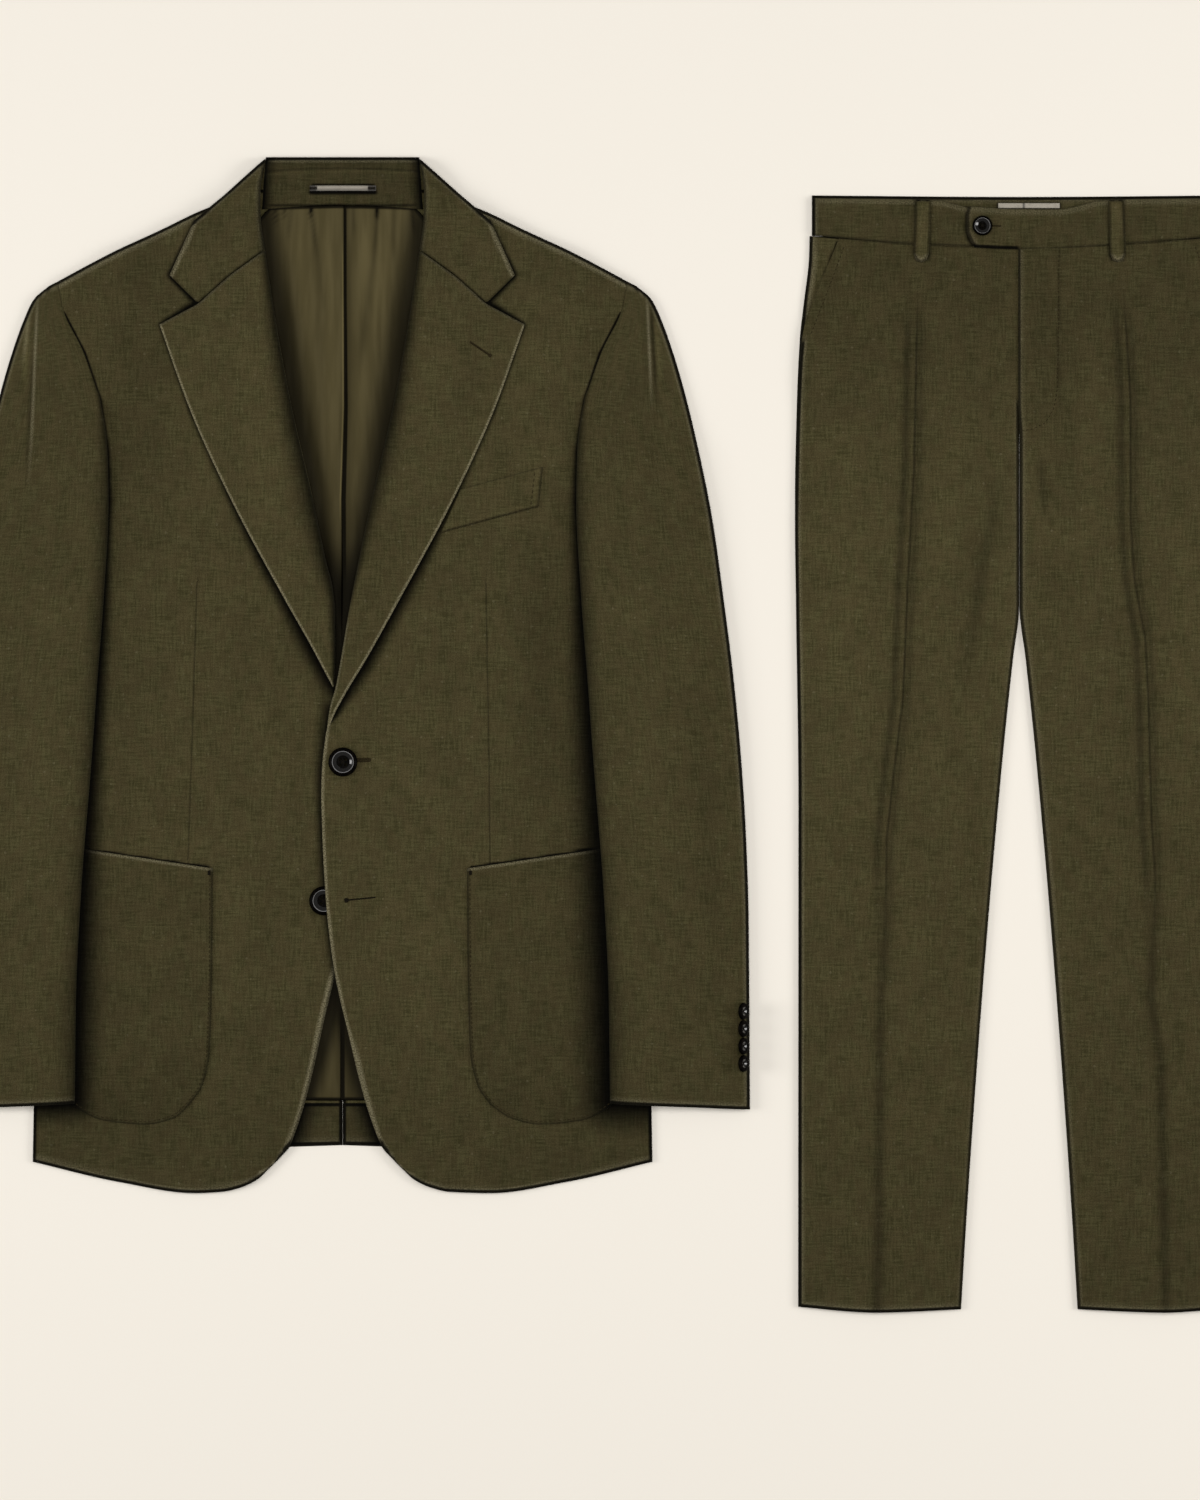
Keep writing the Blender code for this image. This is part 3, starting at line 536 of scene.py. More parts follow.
def sew_piece(
    name,
    at,
    side,
    edges,
    under,
    wall,
    material=SUITING,
    cell=(3.6, 3.6),
    rim=1.3,
    edge_highlights=NOWHERE,
    highlight_within=(3.4, 5.0),
    outlined=ALL_ROUND,
    since=NOWHERE,
    seam=even(FAR_FROM_SEAMS),
    tone=even(1),
    shades=(),
    extra_highlights=no_extra_highlights,
    extra=(),
    along=False,
):
    """One piece of cloth on its pattern: a closed wall with round edges, painted as shade where they turn
    under.

    under gives the height of its lower face at (x, down, s, t), where x is across with the side's sign.
    rubbed and outlined say how strongly each edge gets a painted highlight and painted shade, and since how
    far down that begins. shades are the edges that stand over the piece and throw a painted shade on it, worn
    says where else it gets a painted highlight, and extra the columns of cells that a fold needs besides the
    even ones. The grain runs straight down the garment, or along the piece.
    """
    inner, outer, top, bottom = edges
    share = np.linspace(0, 1, 9)
    wide = np.abs(outer(share) - inner(share)).max()
    tall = max(np.abs(np.diff(inner(share))).sum(), np.abs(np.diff(outer(share))).sum())
    s_stops, t_stops = np.union1d(fine_stops(wide, cell[0]), extra), fine_stops(tall, cell[1])
    mesh = flat_shell(name, len(s_stops) - 1, len(t_stops) - 1, side < 0)
    cells = np.empty(len(mesh.vertices) * 3, np.float32)
    mesh.vertices.foreach_get("co", cells)
    cells = cells.reshape(-1, 3)
    s = s_stops[np.rint((cells[:, 0] + 0.5) * (len(s_stops) - 1)).astype(int)]
    t = t_stops[np.rint((0.5 - cells[:, 1]) * (len(t_stops) - 1)).astype(int)]
    places = spot(edges, s, t)
    x, d = side * places.real, places.imag
    gaps = edge_gaps(edges, s, t)
    low = under(x, d, s, t)
    high = low + wall * (THIN_AT_EDGES + (1 - THIN_AT_EDGES) * bulge(gaps.min(0), rim))
    height = np.where(cells[:, 2] > 0.5, high, low)
    points = np.stack((at[0] + x, at[1] - d, height), axis=1) * MM
    mesh.vertices.foreach_set("co", points.astype(np.float32).ravel())
    u, v = (s * wide, t * tall) if along else (x, d)
    loops = np.empty(len(mesh.loops), np.int32)
    mesh.loops.foreach_get("vertex_index", loops)
    uv = mesh.uv_layers.new(name="cut")
    uv.data.foreach_set("uv", (np.stack((u, v), axis=1)[loops] * MM).astype(np.float32).ravel())
    # Painted highlights along the chosen edges and wherever else they are given.
    set_attribute(mesh, "painted_highlight", np.maximum(edge_band(gaps, d, edge_highlights, since, highlight_within), extra_highlights(x, d)))
    set_attribute(mesh, "shade_gap", shade_gap(shades, x, d))
    set_attribute(mesh, "seam", seam(x, d, s, t))
    # Painted shade: a dark line along the outlined edges, times the tone, which carries more painted light
    # and shade.
    outline = DARKEST_OUTLINE * edge_band(gaps, d, outlined, since, OUTLINE_WITHIN, OUTLINE_DEEPER)
    set_attribute(mesh, "tone", tone(x, d, s, t) * (1 - outline))
    mesh.update()
    return add_piece(mesh, name, material)


def flat_cut(edges):
    """A piece's size as cut: (width, length) in metres and area in square metres."""
    share = np.linspace(0, 1, 200)
    inner, outer, top, bottom = edges
    rim = np.concatenate((top(share), outer(share), bottom(share)[::-1], inner(share)[::-1]))
    area = abs((rim.conjugate() * np.roll(rim, -1)).imag.sum()) / 2
    return (np.ptp(rim.real) * MM, np.ptp(rim.imag) * MM), area * MM * MM


def stand_in(piece, nodes):
    """The piece stands for its CAD nodes, which are hidden, and rides with the suit."""
    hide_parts(*nodes)
    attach(piece, "root")


def lay(piece, edges, nodes):
    """The piece stands in for its CAD nodes. Its size and area as cut are worked out, and nothing uses them.
    """
    stand_in(piece, nodes)
    size, area = flat_cut(edges)
    area = min(area, size[0] * size[1])


def neck_lift(x, d, layer):
    """The collar's fall lies under the back's neck and lifts each layer over it a little further out."""
    by_down = 1 - ease(d, 66 + 40 * layer, 104 + 40 * layer)
    by_across = 1 - ease(np.abs(x), 132 + 20 * layer, 172 + 20 * layer)
    return 2.0 * by_down * by_across


def back_under(x, d, s, t):
    return neck_lift(x, d, 0)


back_seam = (Point(HALF_SEAM, 40), Point(HALF_SEAM, 400), BACK_HEM[0])
back_top = (Point(40, 38), NECK_POINT, *SHOULDER_CURVE)
armhole_side = (SHOULDER_POINT, *ARMHOLE, *SIDE_SEAM)
back_edges = pattern(back_seam, armhole_side, top=back_top, bottom=BACK_HEM[1:2])
hem_edges = pattern(
    line_of((HALF_SEAM, HEM_BAND_TOP), (HALF_SEAM, HEM_BAND_FOOT)),
    line_of((HEM_BAND_HALF, HEM_BAND_TOP), (HEM_BAND_HALF, HEM_BAND_FOOT + 1.6)),
)
for side, hand in SIDES:
    back = sew_piece(f"jacket_back_{hand}", JACKET_AT, side, back_edges, back_under, CLOTH, cell=(7, 7))
    lay(back, back_edges, [f"back_{hand}"])
    hem = sew_piece(
        f"jacket_back_hem_{hand}", JACKET_AT, side, hem_edges, even(CLOTH + GAP), HEM_WALL,
        edge_highlights={FOOT: 0.4},
        # Painted shade: the hem deep between the fronts is darkened all over.
        tone=even(0.72),
        shades=[
            shade_line(1, OUTWARD, (14, 740, 22), (31, 791, 18)),
            shade_line(-1, OUTWARD, (27, 740, 22), (42, 791, 18)),
        ],
    )
    lay(hem, hem_edges, [f"back_hem_{hand}"])


# ---------------------------------------------------------------- jacket: the back lining
# A satin lining hangs inside the back from the neck seam. It is cut wider than the back, and the spare width
# is pressed into a pleat down the centre and falls in soft folds. Its small tucks at the neck are painted as
# shade.

Fold = namedtuple("Fold", "x down to_x to_down width rise")

LINING_COLOUR = (0.056, 0.0455, 0.0195)
LINING_LIGHT = (0.068, 0.0555, 0.0245)
LINING_WALL = 0.9
DEEPEST_LINING_SHADE = 0.88
LINING_EDGE = line_of((62, 44), (86, 75), (100, 150), (100, 300), (95, 600), (95, 755))
ROLL_LINE = line_of((65.4, 50), (62, 76), (52, 138), (40.5, 200), (23.5, 274))
ROLL_FOOT = {
    1: line_of((13.3, 322), (8.6, 346), (4.4, 369), (0, 396), (-5.2, 424), (-10, 441)),
    -1: line_of((13.2, 322), (7.4, 346), (5.6, 366), (5.6, 400), (6.8, 424)),
}
LINING_SHADE = (
    (66, 40, 18), (62, 76, 22), (52, 138, 26), (40.5, 200, 24), (23.5, 274, 17), (13.3, 322, 14),
    (7, 360, 14),
)
LINING_FOLDS = (
    Fold(-27, 40, -17, 300, 7, 1.9),
    Fold(-44, 46, -30, 240, 5, 1.2),
    Fold(14, 42, 9, 330, 6, 1.7),
    Fold(31, 40, 22, 210, 4.5, 1.9),
    Fold(42, 60, 33, 200, 4, 0.9),
    Fold(-13, 44, -9, 150, 3.5, 0.8),
    Fold(20, 700, 24, 757, 5, 0.8),
    Fold(-22, 690, -25, 757, 6, 0.7),
)
# Painted light and shade on the lining: dark lines where small tucks at the neck would throw shade, and
# lighter and darker bands down its folds.
LINING_TONES = (
    Fold(-54.5, 34, -53, 58, 1.8, -0.7),
    Fold(-46.5, 34, -46, 52, 1.6, -0.6),
    Fold(-25.3, 34, -25, 50, 1.6, -0.8),
    Fold(27.8, 34, 27, 52, 1.8, -0.8),
    Fold(55, 36, 58, 66, 1.8, -0.7),
    Fold(-26, 34, -20, 84, 2.0, -0.45),
    Fold(-22, 60, -11, 150, 3.6, -0.2),
    Fold(-40, 34, -44, 72, 2.4, -0.3),
    Fold(-34, 50, -30, 190, 5.5, 0.14),
    Fold(-12, 50, -8, 220, 5.0, 0.16),
    Fold(-20, 110, -14, 330, 4.5, -0.16),
    Fold(8.5, 34, 9.5, 70, 1.6, -0.4),
    Fold(28.4, 34, 24.4, 96, 2.0, -0.5),
    Fold(24.4, 80, 14, 168, 3.4, -0.34),
    Fold(42, 34, 40, 92, 2.2, -0.35),
    Fold(18, 50, 17, 150, 4.6, 0.2),
    Fold(35, 60, 27, 190, 4.6, 0.2),
    Fold(16, 150, 11, 300, 4.4, 0.12),
)
PLEAT = line_of((1.2, 36), (1.6, 200), (-0.6, 274), (-0.4, 340), (-1.6, 660), (-1.6, 757))


def hump(gap, width):
    """1 where the gap is 0, falling away softly on both sides of it."""
    return np.exp(-((gap / width) ** 2))


def across_of(line, d):
    """How far across a line that runs down the garment lies."""
    return np.interp(d, [p.down for p in line], [p.across for p in line])


def folded(folds, x, d):
    """The height that soft folds add: ridges and troughs along straight lines that fade at both ends."""
    total = np.zeros_like(x)
    for fold in folds:
        run = complex(fold.to_x - fold.x, fold.to_down - fold.down)
        from_start = (x - fold.x) + 1j * (d - fold.down)
        turned = from_start * run.conjugate() / abs(run)
        along = turned.real / abs(run)
        ends = ease(along, -0.05, 0.22) * (1 - ease(along, 0.55, 1.05))
        total = total + fold.rise * hump(turned.imag, fold.width) * ends
    return total


def make_lining():
    """Satin: smooth, with a soft gloss and the faint rib of its yarns."""
    material, tree, shader = new_material("olive_lining")
    cut = cut_of(tree)
    streaks = noise(tree, scaled(tree, cut, 7, 60), 2.0)
    rib = noise(tree, scaled(tree, cut, 0.5, 9), 1.0)
    # Painted shade beside the fronts' edges, times the painted light and shade of the tone.
    under_edges = kept_from_light(tree, DEEPEST_LINING_SHADE)
    tone = math_node(tree, "MULTIPLY", attribute(tree, "tone"), under_edges)
    colour = mixed(tree, stretched(tree, streaks, 0.3, 0.7), (*LINING_COLOUR, 1), (*LINING_LIGHT, 1))
    relief = bumped(tree, 0.25, 0.08, math_node(tree, "ADD", rib, streaks))
    roughness = stretched(tree, streaks, 0.3, 0.7, 0.55, 0.47)
    finished(tree, shader, darkened(tree, colour, tone), roughness, relief)
    shader.inputs["Specular IOR Level"].default_value = 0.05
    shader.inputs["Specular Tint"].default_value = (1.0, 0.88, 0.58, 1)
    return material


def in_the_opening(x, d):
    """1 where the lining is clear of the fronts, and 0 under them."""
    above = (1 - ease(np.abs(x) - across_of(ROLL_LINE, d), -16, -5)) * (1 - ease(d, 330, 400))
    below = ease(d, 690, 735) * (1 - ease(np.abs(x), 12, 24))
    return np.maximum(above, below)


def past_pleat(x, d):
    """How far across from the centre pleat's pressed edge a place lies."""
    return x - across_of(PLEAT, d)


def lining_under(x, d, s, t):
    """The pleat's upper layer ends in a pressed edge along the centre."""
    pleat = 1.8 * ease(x, -30, -2) * (1 - ease(past_pleat(x, d), -0.4, 0.4))
    relief = folded(LINING_FOLDS, x, d) + pleat
    return neck_lift(x, d, 1) + CLOTH + GAP + in_the_opening(x, d) * np.maximum(relief, 0)


def lining_tone(x, d, s, t):
    """Painted: a highlight on the pleat's edge, a near-black shadow beside it, and shade deep in the opening.
    """
    past = past_pleat(x, d)
    wide = 1.6 + 1.3 * ease(d, 100, 300)
    # Painted light and shade along the pleat: its near-black shadow, the shade it throws to both sides, and a
    # highlight on its pressed edge.
    black = 0.98 * ease(past, -0.6, 0.1) * (1 - ease(past, wide, wide + 0.8))
    shade = 0.5 * ease(past, 0, 1) * np.exp(-np.maximum(past, 0) / (5 + 5 * ease(d, 60, 200)))
    beside = 0.4 * (1 - ease(past, -0.2, 0)) * np.exp(np.minimum(past, 0) / (1.5 + 3 * ease(d, 150, 260)))
    pale = 0.75 * ease(past, -2.0, -1.4) * (1 - ease(past, -0.9, -0.4))
    pale = pale * ease(d, 60, 90) * (1 - ease(d, 270, 300))
    # Painted shade deep in the opening, and a little darker towards the foot.
    deep = 0.98 * ease(d, 300, 350) * (1 - ease(d, 660, 700))
    low = 1 - 0.18 * ease(d, 600, 660)
    soft = 1 + 0.1 * ease(x, 4, 12) * (1 - ease(d, 300, 360)) + folded(LINING_TONES, x, d)
    return soft * (1 - black) * (1 - shade) * (1 - beside + pale) * (1 - deep) * low


LINING = make_lining()
lining_neck = line_of((-56, 40), (-30, 39), (0, 38.6), (30, 39), (56, 40))
lining_edges = pattern(mirrored(LINING_EDGE), LINING_EDGE, top=lining_neck)
back_lining = sew_piece(
    "jacket_back_lining", JACKET_AT, 1, lining_edges, lining_under, LINING_WALL,
    material=LINING,
    cell=(1.8, 4),
    tone=lining_tone,
    shades=[
        *(shade_line(turn, OUTWARD, *LINING_SHADE, start=-0.1) for turn in (1, -1)),
        shade_line(1, NEITHER, (-66, 39, 3), (66, 39, 3), start=0.3),
        shade_line(1, OUTWARD, (-3, 660, 12), (2, 690, 13), (31, 791, 15), start=-0.2),
        shade_line(1, INWARD, (-3, 660, 12), (-8, 680, 12), (-42, 791, 15), start=-0.2),
    ],
    extra=np.arange(0.482, 0.526, 0.0024),
)
lay(back_lining, lining_edges, ["back_lining"])


# ---------------------------------------------------------------- jacket: the fronts
# The right front lies on the back and the left front, which is worn on top, laps over it below the lapels.
# Both are padded at the chest, shaped by one sewn dart each, and cut away in a curve below the lower button.

FRONT_WALL = 1.5
CHEST_SWELL = 4.2
SHOULDER_PAD = 2.0
ROLL_LIFT = 2.4
LOOSE_BUTTON_LIFT = 3.7
UPPER_BUTTON_AT = Point(0.5, 484)
LOWER_BUTTON_AT = Point(-15, 595)
POCKET_SHIFT = {1: 0.0, -1: 4.0}
UNDER_ROLL, UNDER_ROLL_FOOT = 1.2, 420
OVER_EDGE = line_of(
    (-13.4, 463), (-16.4, 490), (-17, 510), (-16.2, 538), (-13, 595), (-6.6, 650), (2, 690), (31, 791),
)
UNDER_EDGE = line_of((-4, 446), (8, 466), (16, 490), (16, 538), (11, 595), (-1, 640), (-6, 656), (-42, 791))
DARTS = {
    1: line_of((114.8, 341), (117.2, 482), (118, 566)),
    -1: line_of((-116.4, 341), (-120, 460), (-123.6, 562)),
}
FRONT_FOLDS = (
    Fold(26, 470, 84, 372, 13, 1.3),
    Fold(-26, 470, -84, 372, 13, 1.2),
    Fold(30, 505, 92, 560, 14, 0.9),
    Fold(-34, 505, -88, 560, 14, 0.8),
    Fold(72, 590, 62, 800, 16, 1.4),
    Fold(-70, 600, -78, 800, 18, 1.2),
    Fold(40, 330, 100, 300, 16, 1.0),
    Fold(150, 330, 168, 520, 14, 1.1),
    Fold(-146, 320, -166, 520, 14, 1.0),
    Fold(96, 420, 98, 560, 9, 0.9),
    Fold(-100, 420, -104, 560, 9, 0.8),
)


def roll_across(d):
    return across_of((*ROLL_LINE, Point(-5, 425)), d)


def front_under(x, d, s, t):
    wide = np.abs(x)
    over_lining = (LINING_WALL + 2 * GAP) * (1 - ease(wide, 125, 170))
    chest = CHEST_SWELL * np.exp(-(((wide - 120) / 62) ** 2) - ((d - 215) / 140) ** 2)
    pad = SHOULDER_PAD * ease(wide, 150, 186) * (1 - ease(d, 215, 262))
    roll = ROLL_LIFT * (1 - ease(wide - roll_across(d), 0, 22)) * ease(d, 70, 130) * (1 - ease(d, 400, 450))
    return neck_lift(x, d, 2) + CLOTH + GAP + over_lining + chest + pad + roll + folded(FRONT_FOLDS, x, d)


def left_front_under(x, d, s, t):
    """The left front is held up by the right front's edge, and by the loose lower button."""
    other_front = (FRONT_WALL + 2 * GAP) * (1 - ease(x, 25, 80)) * ease(d, 330, 412)
    other_front = other_front * (1 - 0.8 * ease(d, 690, 780))
    button = LOOSE_BUTTON_LIFT * (1 - ease(np.abs(d - LOWER_BUTTON_AT.down), 22, 75)) * (1 - ease(x, 0, 45))
    return front_under(x, d, s, t) + other_front + button


FRONT_UNDER = {1: left_front_under, -1: front_under}


def front_face(side):
    return raised(FRONT_UNDER[side], FRONT_WALL)


def line_gap(line, x, d):
    """The signed distance across to a line that runs down the garment, growing past its ends."""
    gap = x - across_of(line, d)
    beyond = np.maximum(line[0].down - d, 0) + np.maximum(d - line[-1].down, 0)
    return gap + np.sign(gap) * beyond


LAPEL_SHADE = (
    (117, 52, 4), (138, 95, 4), (116, 117, 6), (145, 134.4, 3.5), (120, 204, 4.5), (88, 274, 6),
    (65, 319, 9), (45, 354, 12),
)
LAPEL_FOOT_SHADE = {
    1: ((17.2, 406, 12), (4.4, 426, 11), (-5, 444, 6), (-9, 452, 1.5)),
    -1: ((24, 393, 15), (10, 419, 14), (6.8, 424, 13), (-2, 440, 12)),
}
SLEEVE_LINE = (
    (222.6, 124), (205.6, 157), (193.6, 194), (187.8, 235), (187, 275), (191, 354), (197, 434), (203, 514),
    (209.5, 598), (213, 674), (214, 757), (226, 757), (250, 757),
)
SLEEVE_REACH = {
    1: (1.4, 1.8, 2.6, 5, 8, 13, 24, 28, 36, 38, 34, 34, 34),
    -1: (1.4, 1.8, 2.6, 4, 6, 9, 14, 17, 26, 30, 24, 24, 24),
}
OVERLAP_SHADE = (
    (-10, 441, 14), (-13.4, 463, 13), (-16.4, 490, 12), (-16.2, 538, 9), (-13, 595, 9), (-6, 650, 7),
    (3, 690, 6), (32, 791, 6),
)
BUTTON_SHADE_REACH = 16.0
POCKET_SHADE = ((101.5, 567.6, 1.5), (238, 548, 1.5))
# Painted light and shade: lighter and darker bands along the fronts' soft folds.
FRONT_TONES = (
    Fold(-30, 420, -90, 360, 18, -0.08),
    Fold(30, 470, 96, 540, 22, 0.07),
    Fold(150, 110, 162, 330, 26, 0.08),
    Fold(156, 280, 170, 600, 26, -0.16),
    Fold(-150, 40, -166, 340, 30, -0.14),
    Fold(-160, 300, -172, 560, 24, -0.02),
    Fold(60, 560, 70, 800, 20, 0.05),
    Fold(-56, 560, -70, 800, 18, -0.06),
)


def sleeve_shade(side):
    """The shade that a sleeve throws on its front and the pocket there."""
    marks = zip(SLEEVE_LINE, SLEEVE_REACH[side])
    return shade_line(side, OUTWARD, *((*place, reach) for place, reach in marks))


def round_shade(side, at, reach):
    """The shade all round a button, thrown by an edge that is nearly a point."""
    return shade_line(side, NEITHER, *((side * at[0] + step, at[1], reach) for step in (0, 0.1)))


def front_tone(x, d, s, t):
    """Painted shade makes the cloth a little darker towards the sleeves; it is also darker towards the hem.
    """
    return 1.0 - 0.06 * ease(np.abs(x), 110, 190) - 0.14 * ease(d, 640, 800) + folded(FRONT_TONES, x, d)


def over_edge_highlight(edge):
    """The left front lies on top, so a painted highlight runs along its free edge to the end of the cloth."""
    return lambda x, d: 0.75 * (1 - ease(line_gap(edge, x, d), 1.2, 3.0)) * ease(d, 436, 444)


fronts = {}
for side, hand, edge in ((1, "left", OVER_EDGE), (-1, "right", UNDER_EDGE)):
    fold = [
        *ROLL_LINE,
        *(Point(p.across + UNDER_ROLL * (p.down < UNDER_ROLL_FOOT), p.down) for p in ROLL_FOOT[side]),
        *(Point(side * p.across, p.down) for p in edge),
    ]
    corner = Point(fold[-1].across + 14, 806)
    hem_curve = [Point(corner.across + step, down) for step, down in ((12, 818), (27, 825), (41, 828))]
    hem_line = (*hem_curve, Point(118, 829), Point(180, 820))
    front_edges = pattern((NECK_POINT, *fold, corner), armhole_side, top=SHOULDER_CURVE, bottom=hem_line)
    pocket_line = [(across + POCKET_SHIFT[side], *rest) for across, *rest in POCKET_SHADE]
    shades = [
        shade_line(side, INWARD, *LAPEL_SHADE, *LAPEL_FOOT_SHADE[side], start=-0.06),
        sleeve_shade(side),
        shade_line(side, INWARD, *pocket_line, start=0.4),
        round_shade(side, UPPER_BUTTON_AT if side > 0 else LOWER_BUTTON_AT, BUTTON_SHADE_REACH),
    ]
    if side < 0:
        shades.append(shade_line(1, OUTWARD, *OVERLAP_SHADE, start=0.12))
    front = sew_piece(
        f"jacket_front_{hand}", JACKET_AT, side, front_edges,
        FRONT_UNDER[side], FRONT_WALL,
        edge_highlights={INNER: 0.75 * (side < 0), FOOT: 0.5, TOP: 0.75},
        highlight_within=(3.2, 4.8),
        outlined={INNER: 0.1 if side > 0 else 0.6, FOOT: 1.0, TOP: 1.0, OUTER: 1.0},
        since={INNER: 442, OUTER: 700},
        seam=lambda x, d, s, t, dart=DARTS[side]: line_gap(dart, x, d),
        tone=front_tone,
        shades=shades,
        extra_highlights=over_edge_highlight(fold) if side > 0 else no_extra_highlights,
    )
    lay(front, front_edges, [f"front_{hand}"])
    fronts[side] = front


# ---------------------------------------------------------------- jacket: the lapels
# Each lapel is the front's own facing, turned back along the roll line over a canvas that gives it spring. It
# stands highest on its roll, lies on the chest at its peak, and lifts off the front again above the button.

LAPEL_WALL = 1.7
LAPEL_ROLL = 4.6
LAPEL_SPRING = 3.6
LAPEL_EDGE = line_of((146, 134.4), (121, 204), (89, 274), (46, 354))
LAPEL_END = {
    1: line_of((17.2, 405.6), (4.4, 426.4), (-7.6, 448.8), (-12, 461)),
    -1: line_of((25, 391), (7.6, 424)),
}
ROLL_SHADE = {
    1: (
        (60, 76, 10), (50, 138, 18), (38.5, 200, 21), (21.5, 274, 19), (10, 330, 10), (2, 369, 2),
        (-3, 400, 0.5),
    ),
    -1: (
        (60, 76, 10), (50, 138, 18), (38.5, 200, 22), (21.5, 274, 24), (10, 330, 20), (5.4, 352, 12),
        (4.6, 420, 6),
    ),
}
GORGE = line_of((61.6, 74.5), (90, 95), (115.4, 117.4))
NOTCH_GAP = 0.8


def lapel_under(side, edges):
    face = front_face(side)

    def under(x, d, s, t):
        from_roll, from_outer = edge_gaps(edges, s, t)[:2]
        across = from_roll / (from_roll + from_outer + 0.01)
        roll = LAPEL_ROLL * bulge(from_roll, 5.5) * (1 - ease(across, 0.06, 0.75))
        roll = roll * (1 - 0.5 * ease(d, 330, 430))
        spring = LAPEL_SPRING * bulge(from_roll, 9) * ease(d, 200, 350) * (1 - 0.7 * ease(d, 405, 440))
        return face(x, d, s, t) + 2 * GAP + roll + spring

    return under


# Painted light and shade in bands along the lapels' roll.
LAPEL_TONES = (
    Fold(74, 150, 64, 290, 14, 0.07),
    Fold(-78, 150, -60, 300, 16, 0.07),
    Fold(108, 130, 96, 220, 12, -0.06),
    Fold(-104, 130, -84, 250, 10, -0.05),
)


# Painted light: the right lapel is a little lighter than the left one and the fronts.
def lapel_tone(x, d, s, t):
    return 1.04 - 0.04 * (x > 0) + folded(LAPEL_TONES, x, d)


lapels = {}
for side, hand in SIDES:
    foot = line_of((-12.6, 461)) if side > 0 else ()
    roll_side = (Point(GORGE[0].across, GORGE[0].down + NOTCH_GAP), *ROLL_LINE[2:], *ROLL_FOOT[side], *foot)
    outer_side = (*LAPEL_EDGE, *LAPEL_END[side])
    gorge_side = line_of((90, GORGE[1].down + NOTCH_GAP), (GORGE[2].across, GORGE[2].down + NOTCH_GAP))
    lapel_edges = pattern(roll_side, outer_side, top=gorge_side, cornered=True)
    lapel = sew_piece(
        f"jacket_lapel_{hand}", JACKET_AT, side, lapel_edges, lapel_under(side, lapel_edges), LAPEL_WALL,
        cell=(2.4, 3),
        rim=1.6,
        edge_highlights={OUTER: 0.85, TOP: 0.35, INNER: 0.45 * (side > 0)},
        highlight_within=(1.1, 2.2),
        outlined={TOP: 0.45},
        since={INNER: 374},
        tone=lapel_tone,
        shades=[shade_line(side, NEITHER, *ROLL_SHADE[side], start=0.1)],
    )
    lay(lapel, lapel_edges, [f"lapel_{hand}"])
    lapels[side] = lapel


# ---------------------------------------------------------------- jacket: the collar
# The collar is one band folded over at the neck. Inside the neck shows its stand, sewn to the lining, and
# outside lies its leaf, which meets each lapel at the gorge seam. Behind the neck it falls under the back.

COLLAR_ROLL = 3.6
COLLAR_TURN = 4.2
COLLAR_TIP = Point(138, 95)
COLLAR_CORNER = Point(61.6, 1.4)
COLLAR_SHOULDER = Point(118.5, 51.5)
STAND_HALF_TOP, STAND_HALF_SEAM = 61.4, 64.4
STAND_DOWNS = (0, 3, 8, 14, 24, 38)
STAND_UNDERS = (1.8, 1.8, 4.6, 5.2, 4.4, 3.6)
STAND_WALL = 1.9
FALL_WALL = 1.4
LEAF_FOLD_SHADE = ((58, 3, 9), (61.5, 30, 10), (61, 50, 12), (57.6, 74.5, 14))


def shoulder_line(across):
    """How far down the shoulder seam lies."""
    slope = (SHOULDER_POINT.down - NECK_POINT.down) / (SHOULDER_POINT.across - NECK_POINT.across)
    return NECK_POINT.down + slope * (across - NECK_POINT.across)


def leaf_under(side, edges):
    """The leaf rolls up at its fold and turns down where it passes over the shoulder seam."""
    face = front_face(side)

    def under(x, d, s, t):
        from_fold = edge_gaps(edges, s, t)[0]
        roll = COLLAR_ROLL * bulge(from_fold, 6) * (1 - ease(s, 0.1, 0.7))
        past_shoulder = shoulder_line(np.abs(x)) - d
        return face(x, d, s, t) + 2 * GAP + roll - COLLAR_TURN * ease(past_shoulder, 3, 9)

    return under


def stand_under(x, d, s, t):
    return smooth_through(STAND_DOWNS, STAND_UNDERS)(np.clip(d, 0, STAND_DOWNS[-1]))


def stand_tone(x, d, s, t):
    """Painted shade darkens the stand; below its fold lie a dark stitched row and a painted highlight."""
    row = 9.4 + 2.4 * (x / 62) ** 2
    return 0.72 * (1 - 0.4 * hump(d - row, 1.0)) * (1 + 0.25 * hump(d - row - 2.4, 1.2))


leaf_inner = (COLLAR_CORNER, Point(65.5, 30), Point(65, 50), GORGE[0])
leaf_edges = pattern(leaf_inner, (COLLAR_SHOULDER, COLLAR_TIP), bottom=GORGE[1:], cornered=True)
for side, hand in SIDES:
    leaf = sew_piece(
        f"jacket_collar_leaf_{hand}", JACKET_AT, side, leaf_edges, leaf_under(side, leaf_edges), LAPEL_WALL,
        cell=(2.4, 2.4),
        rim=1.6,
        edge_highlights={OUTER: 0.6, TOP: 0.5, INNER: 0.2},
        highlight_within=(2.6, 4.2),
        outlined={OUTER: 0.4, TOP: 1.0, FOOT: 0.35, INNER: 0.5},
        tone=even(0.95),
        shades=[shade_line(side, NEITHER, *LEAF_FOLD_SHADE, start=0.1)],
    )
    lay(leaf, leaf_edges, [f"collar_leaf_{hand}"])

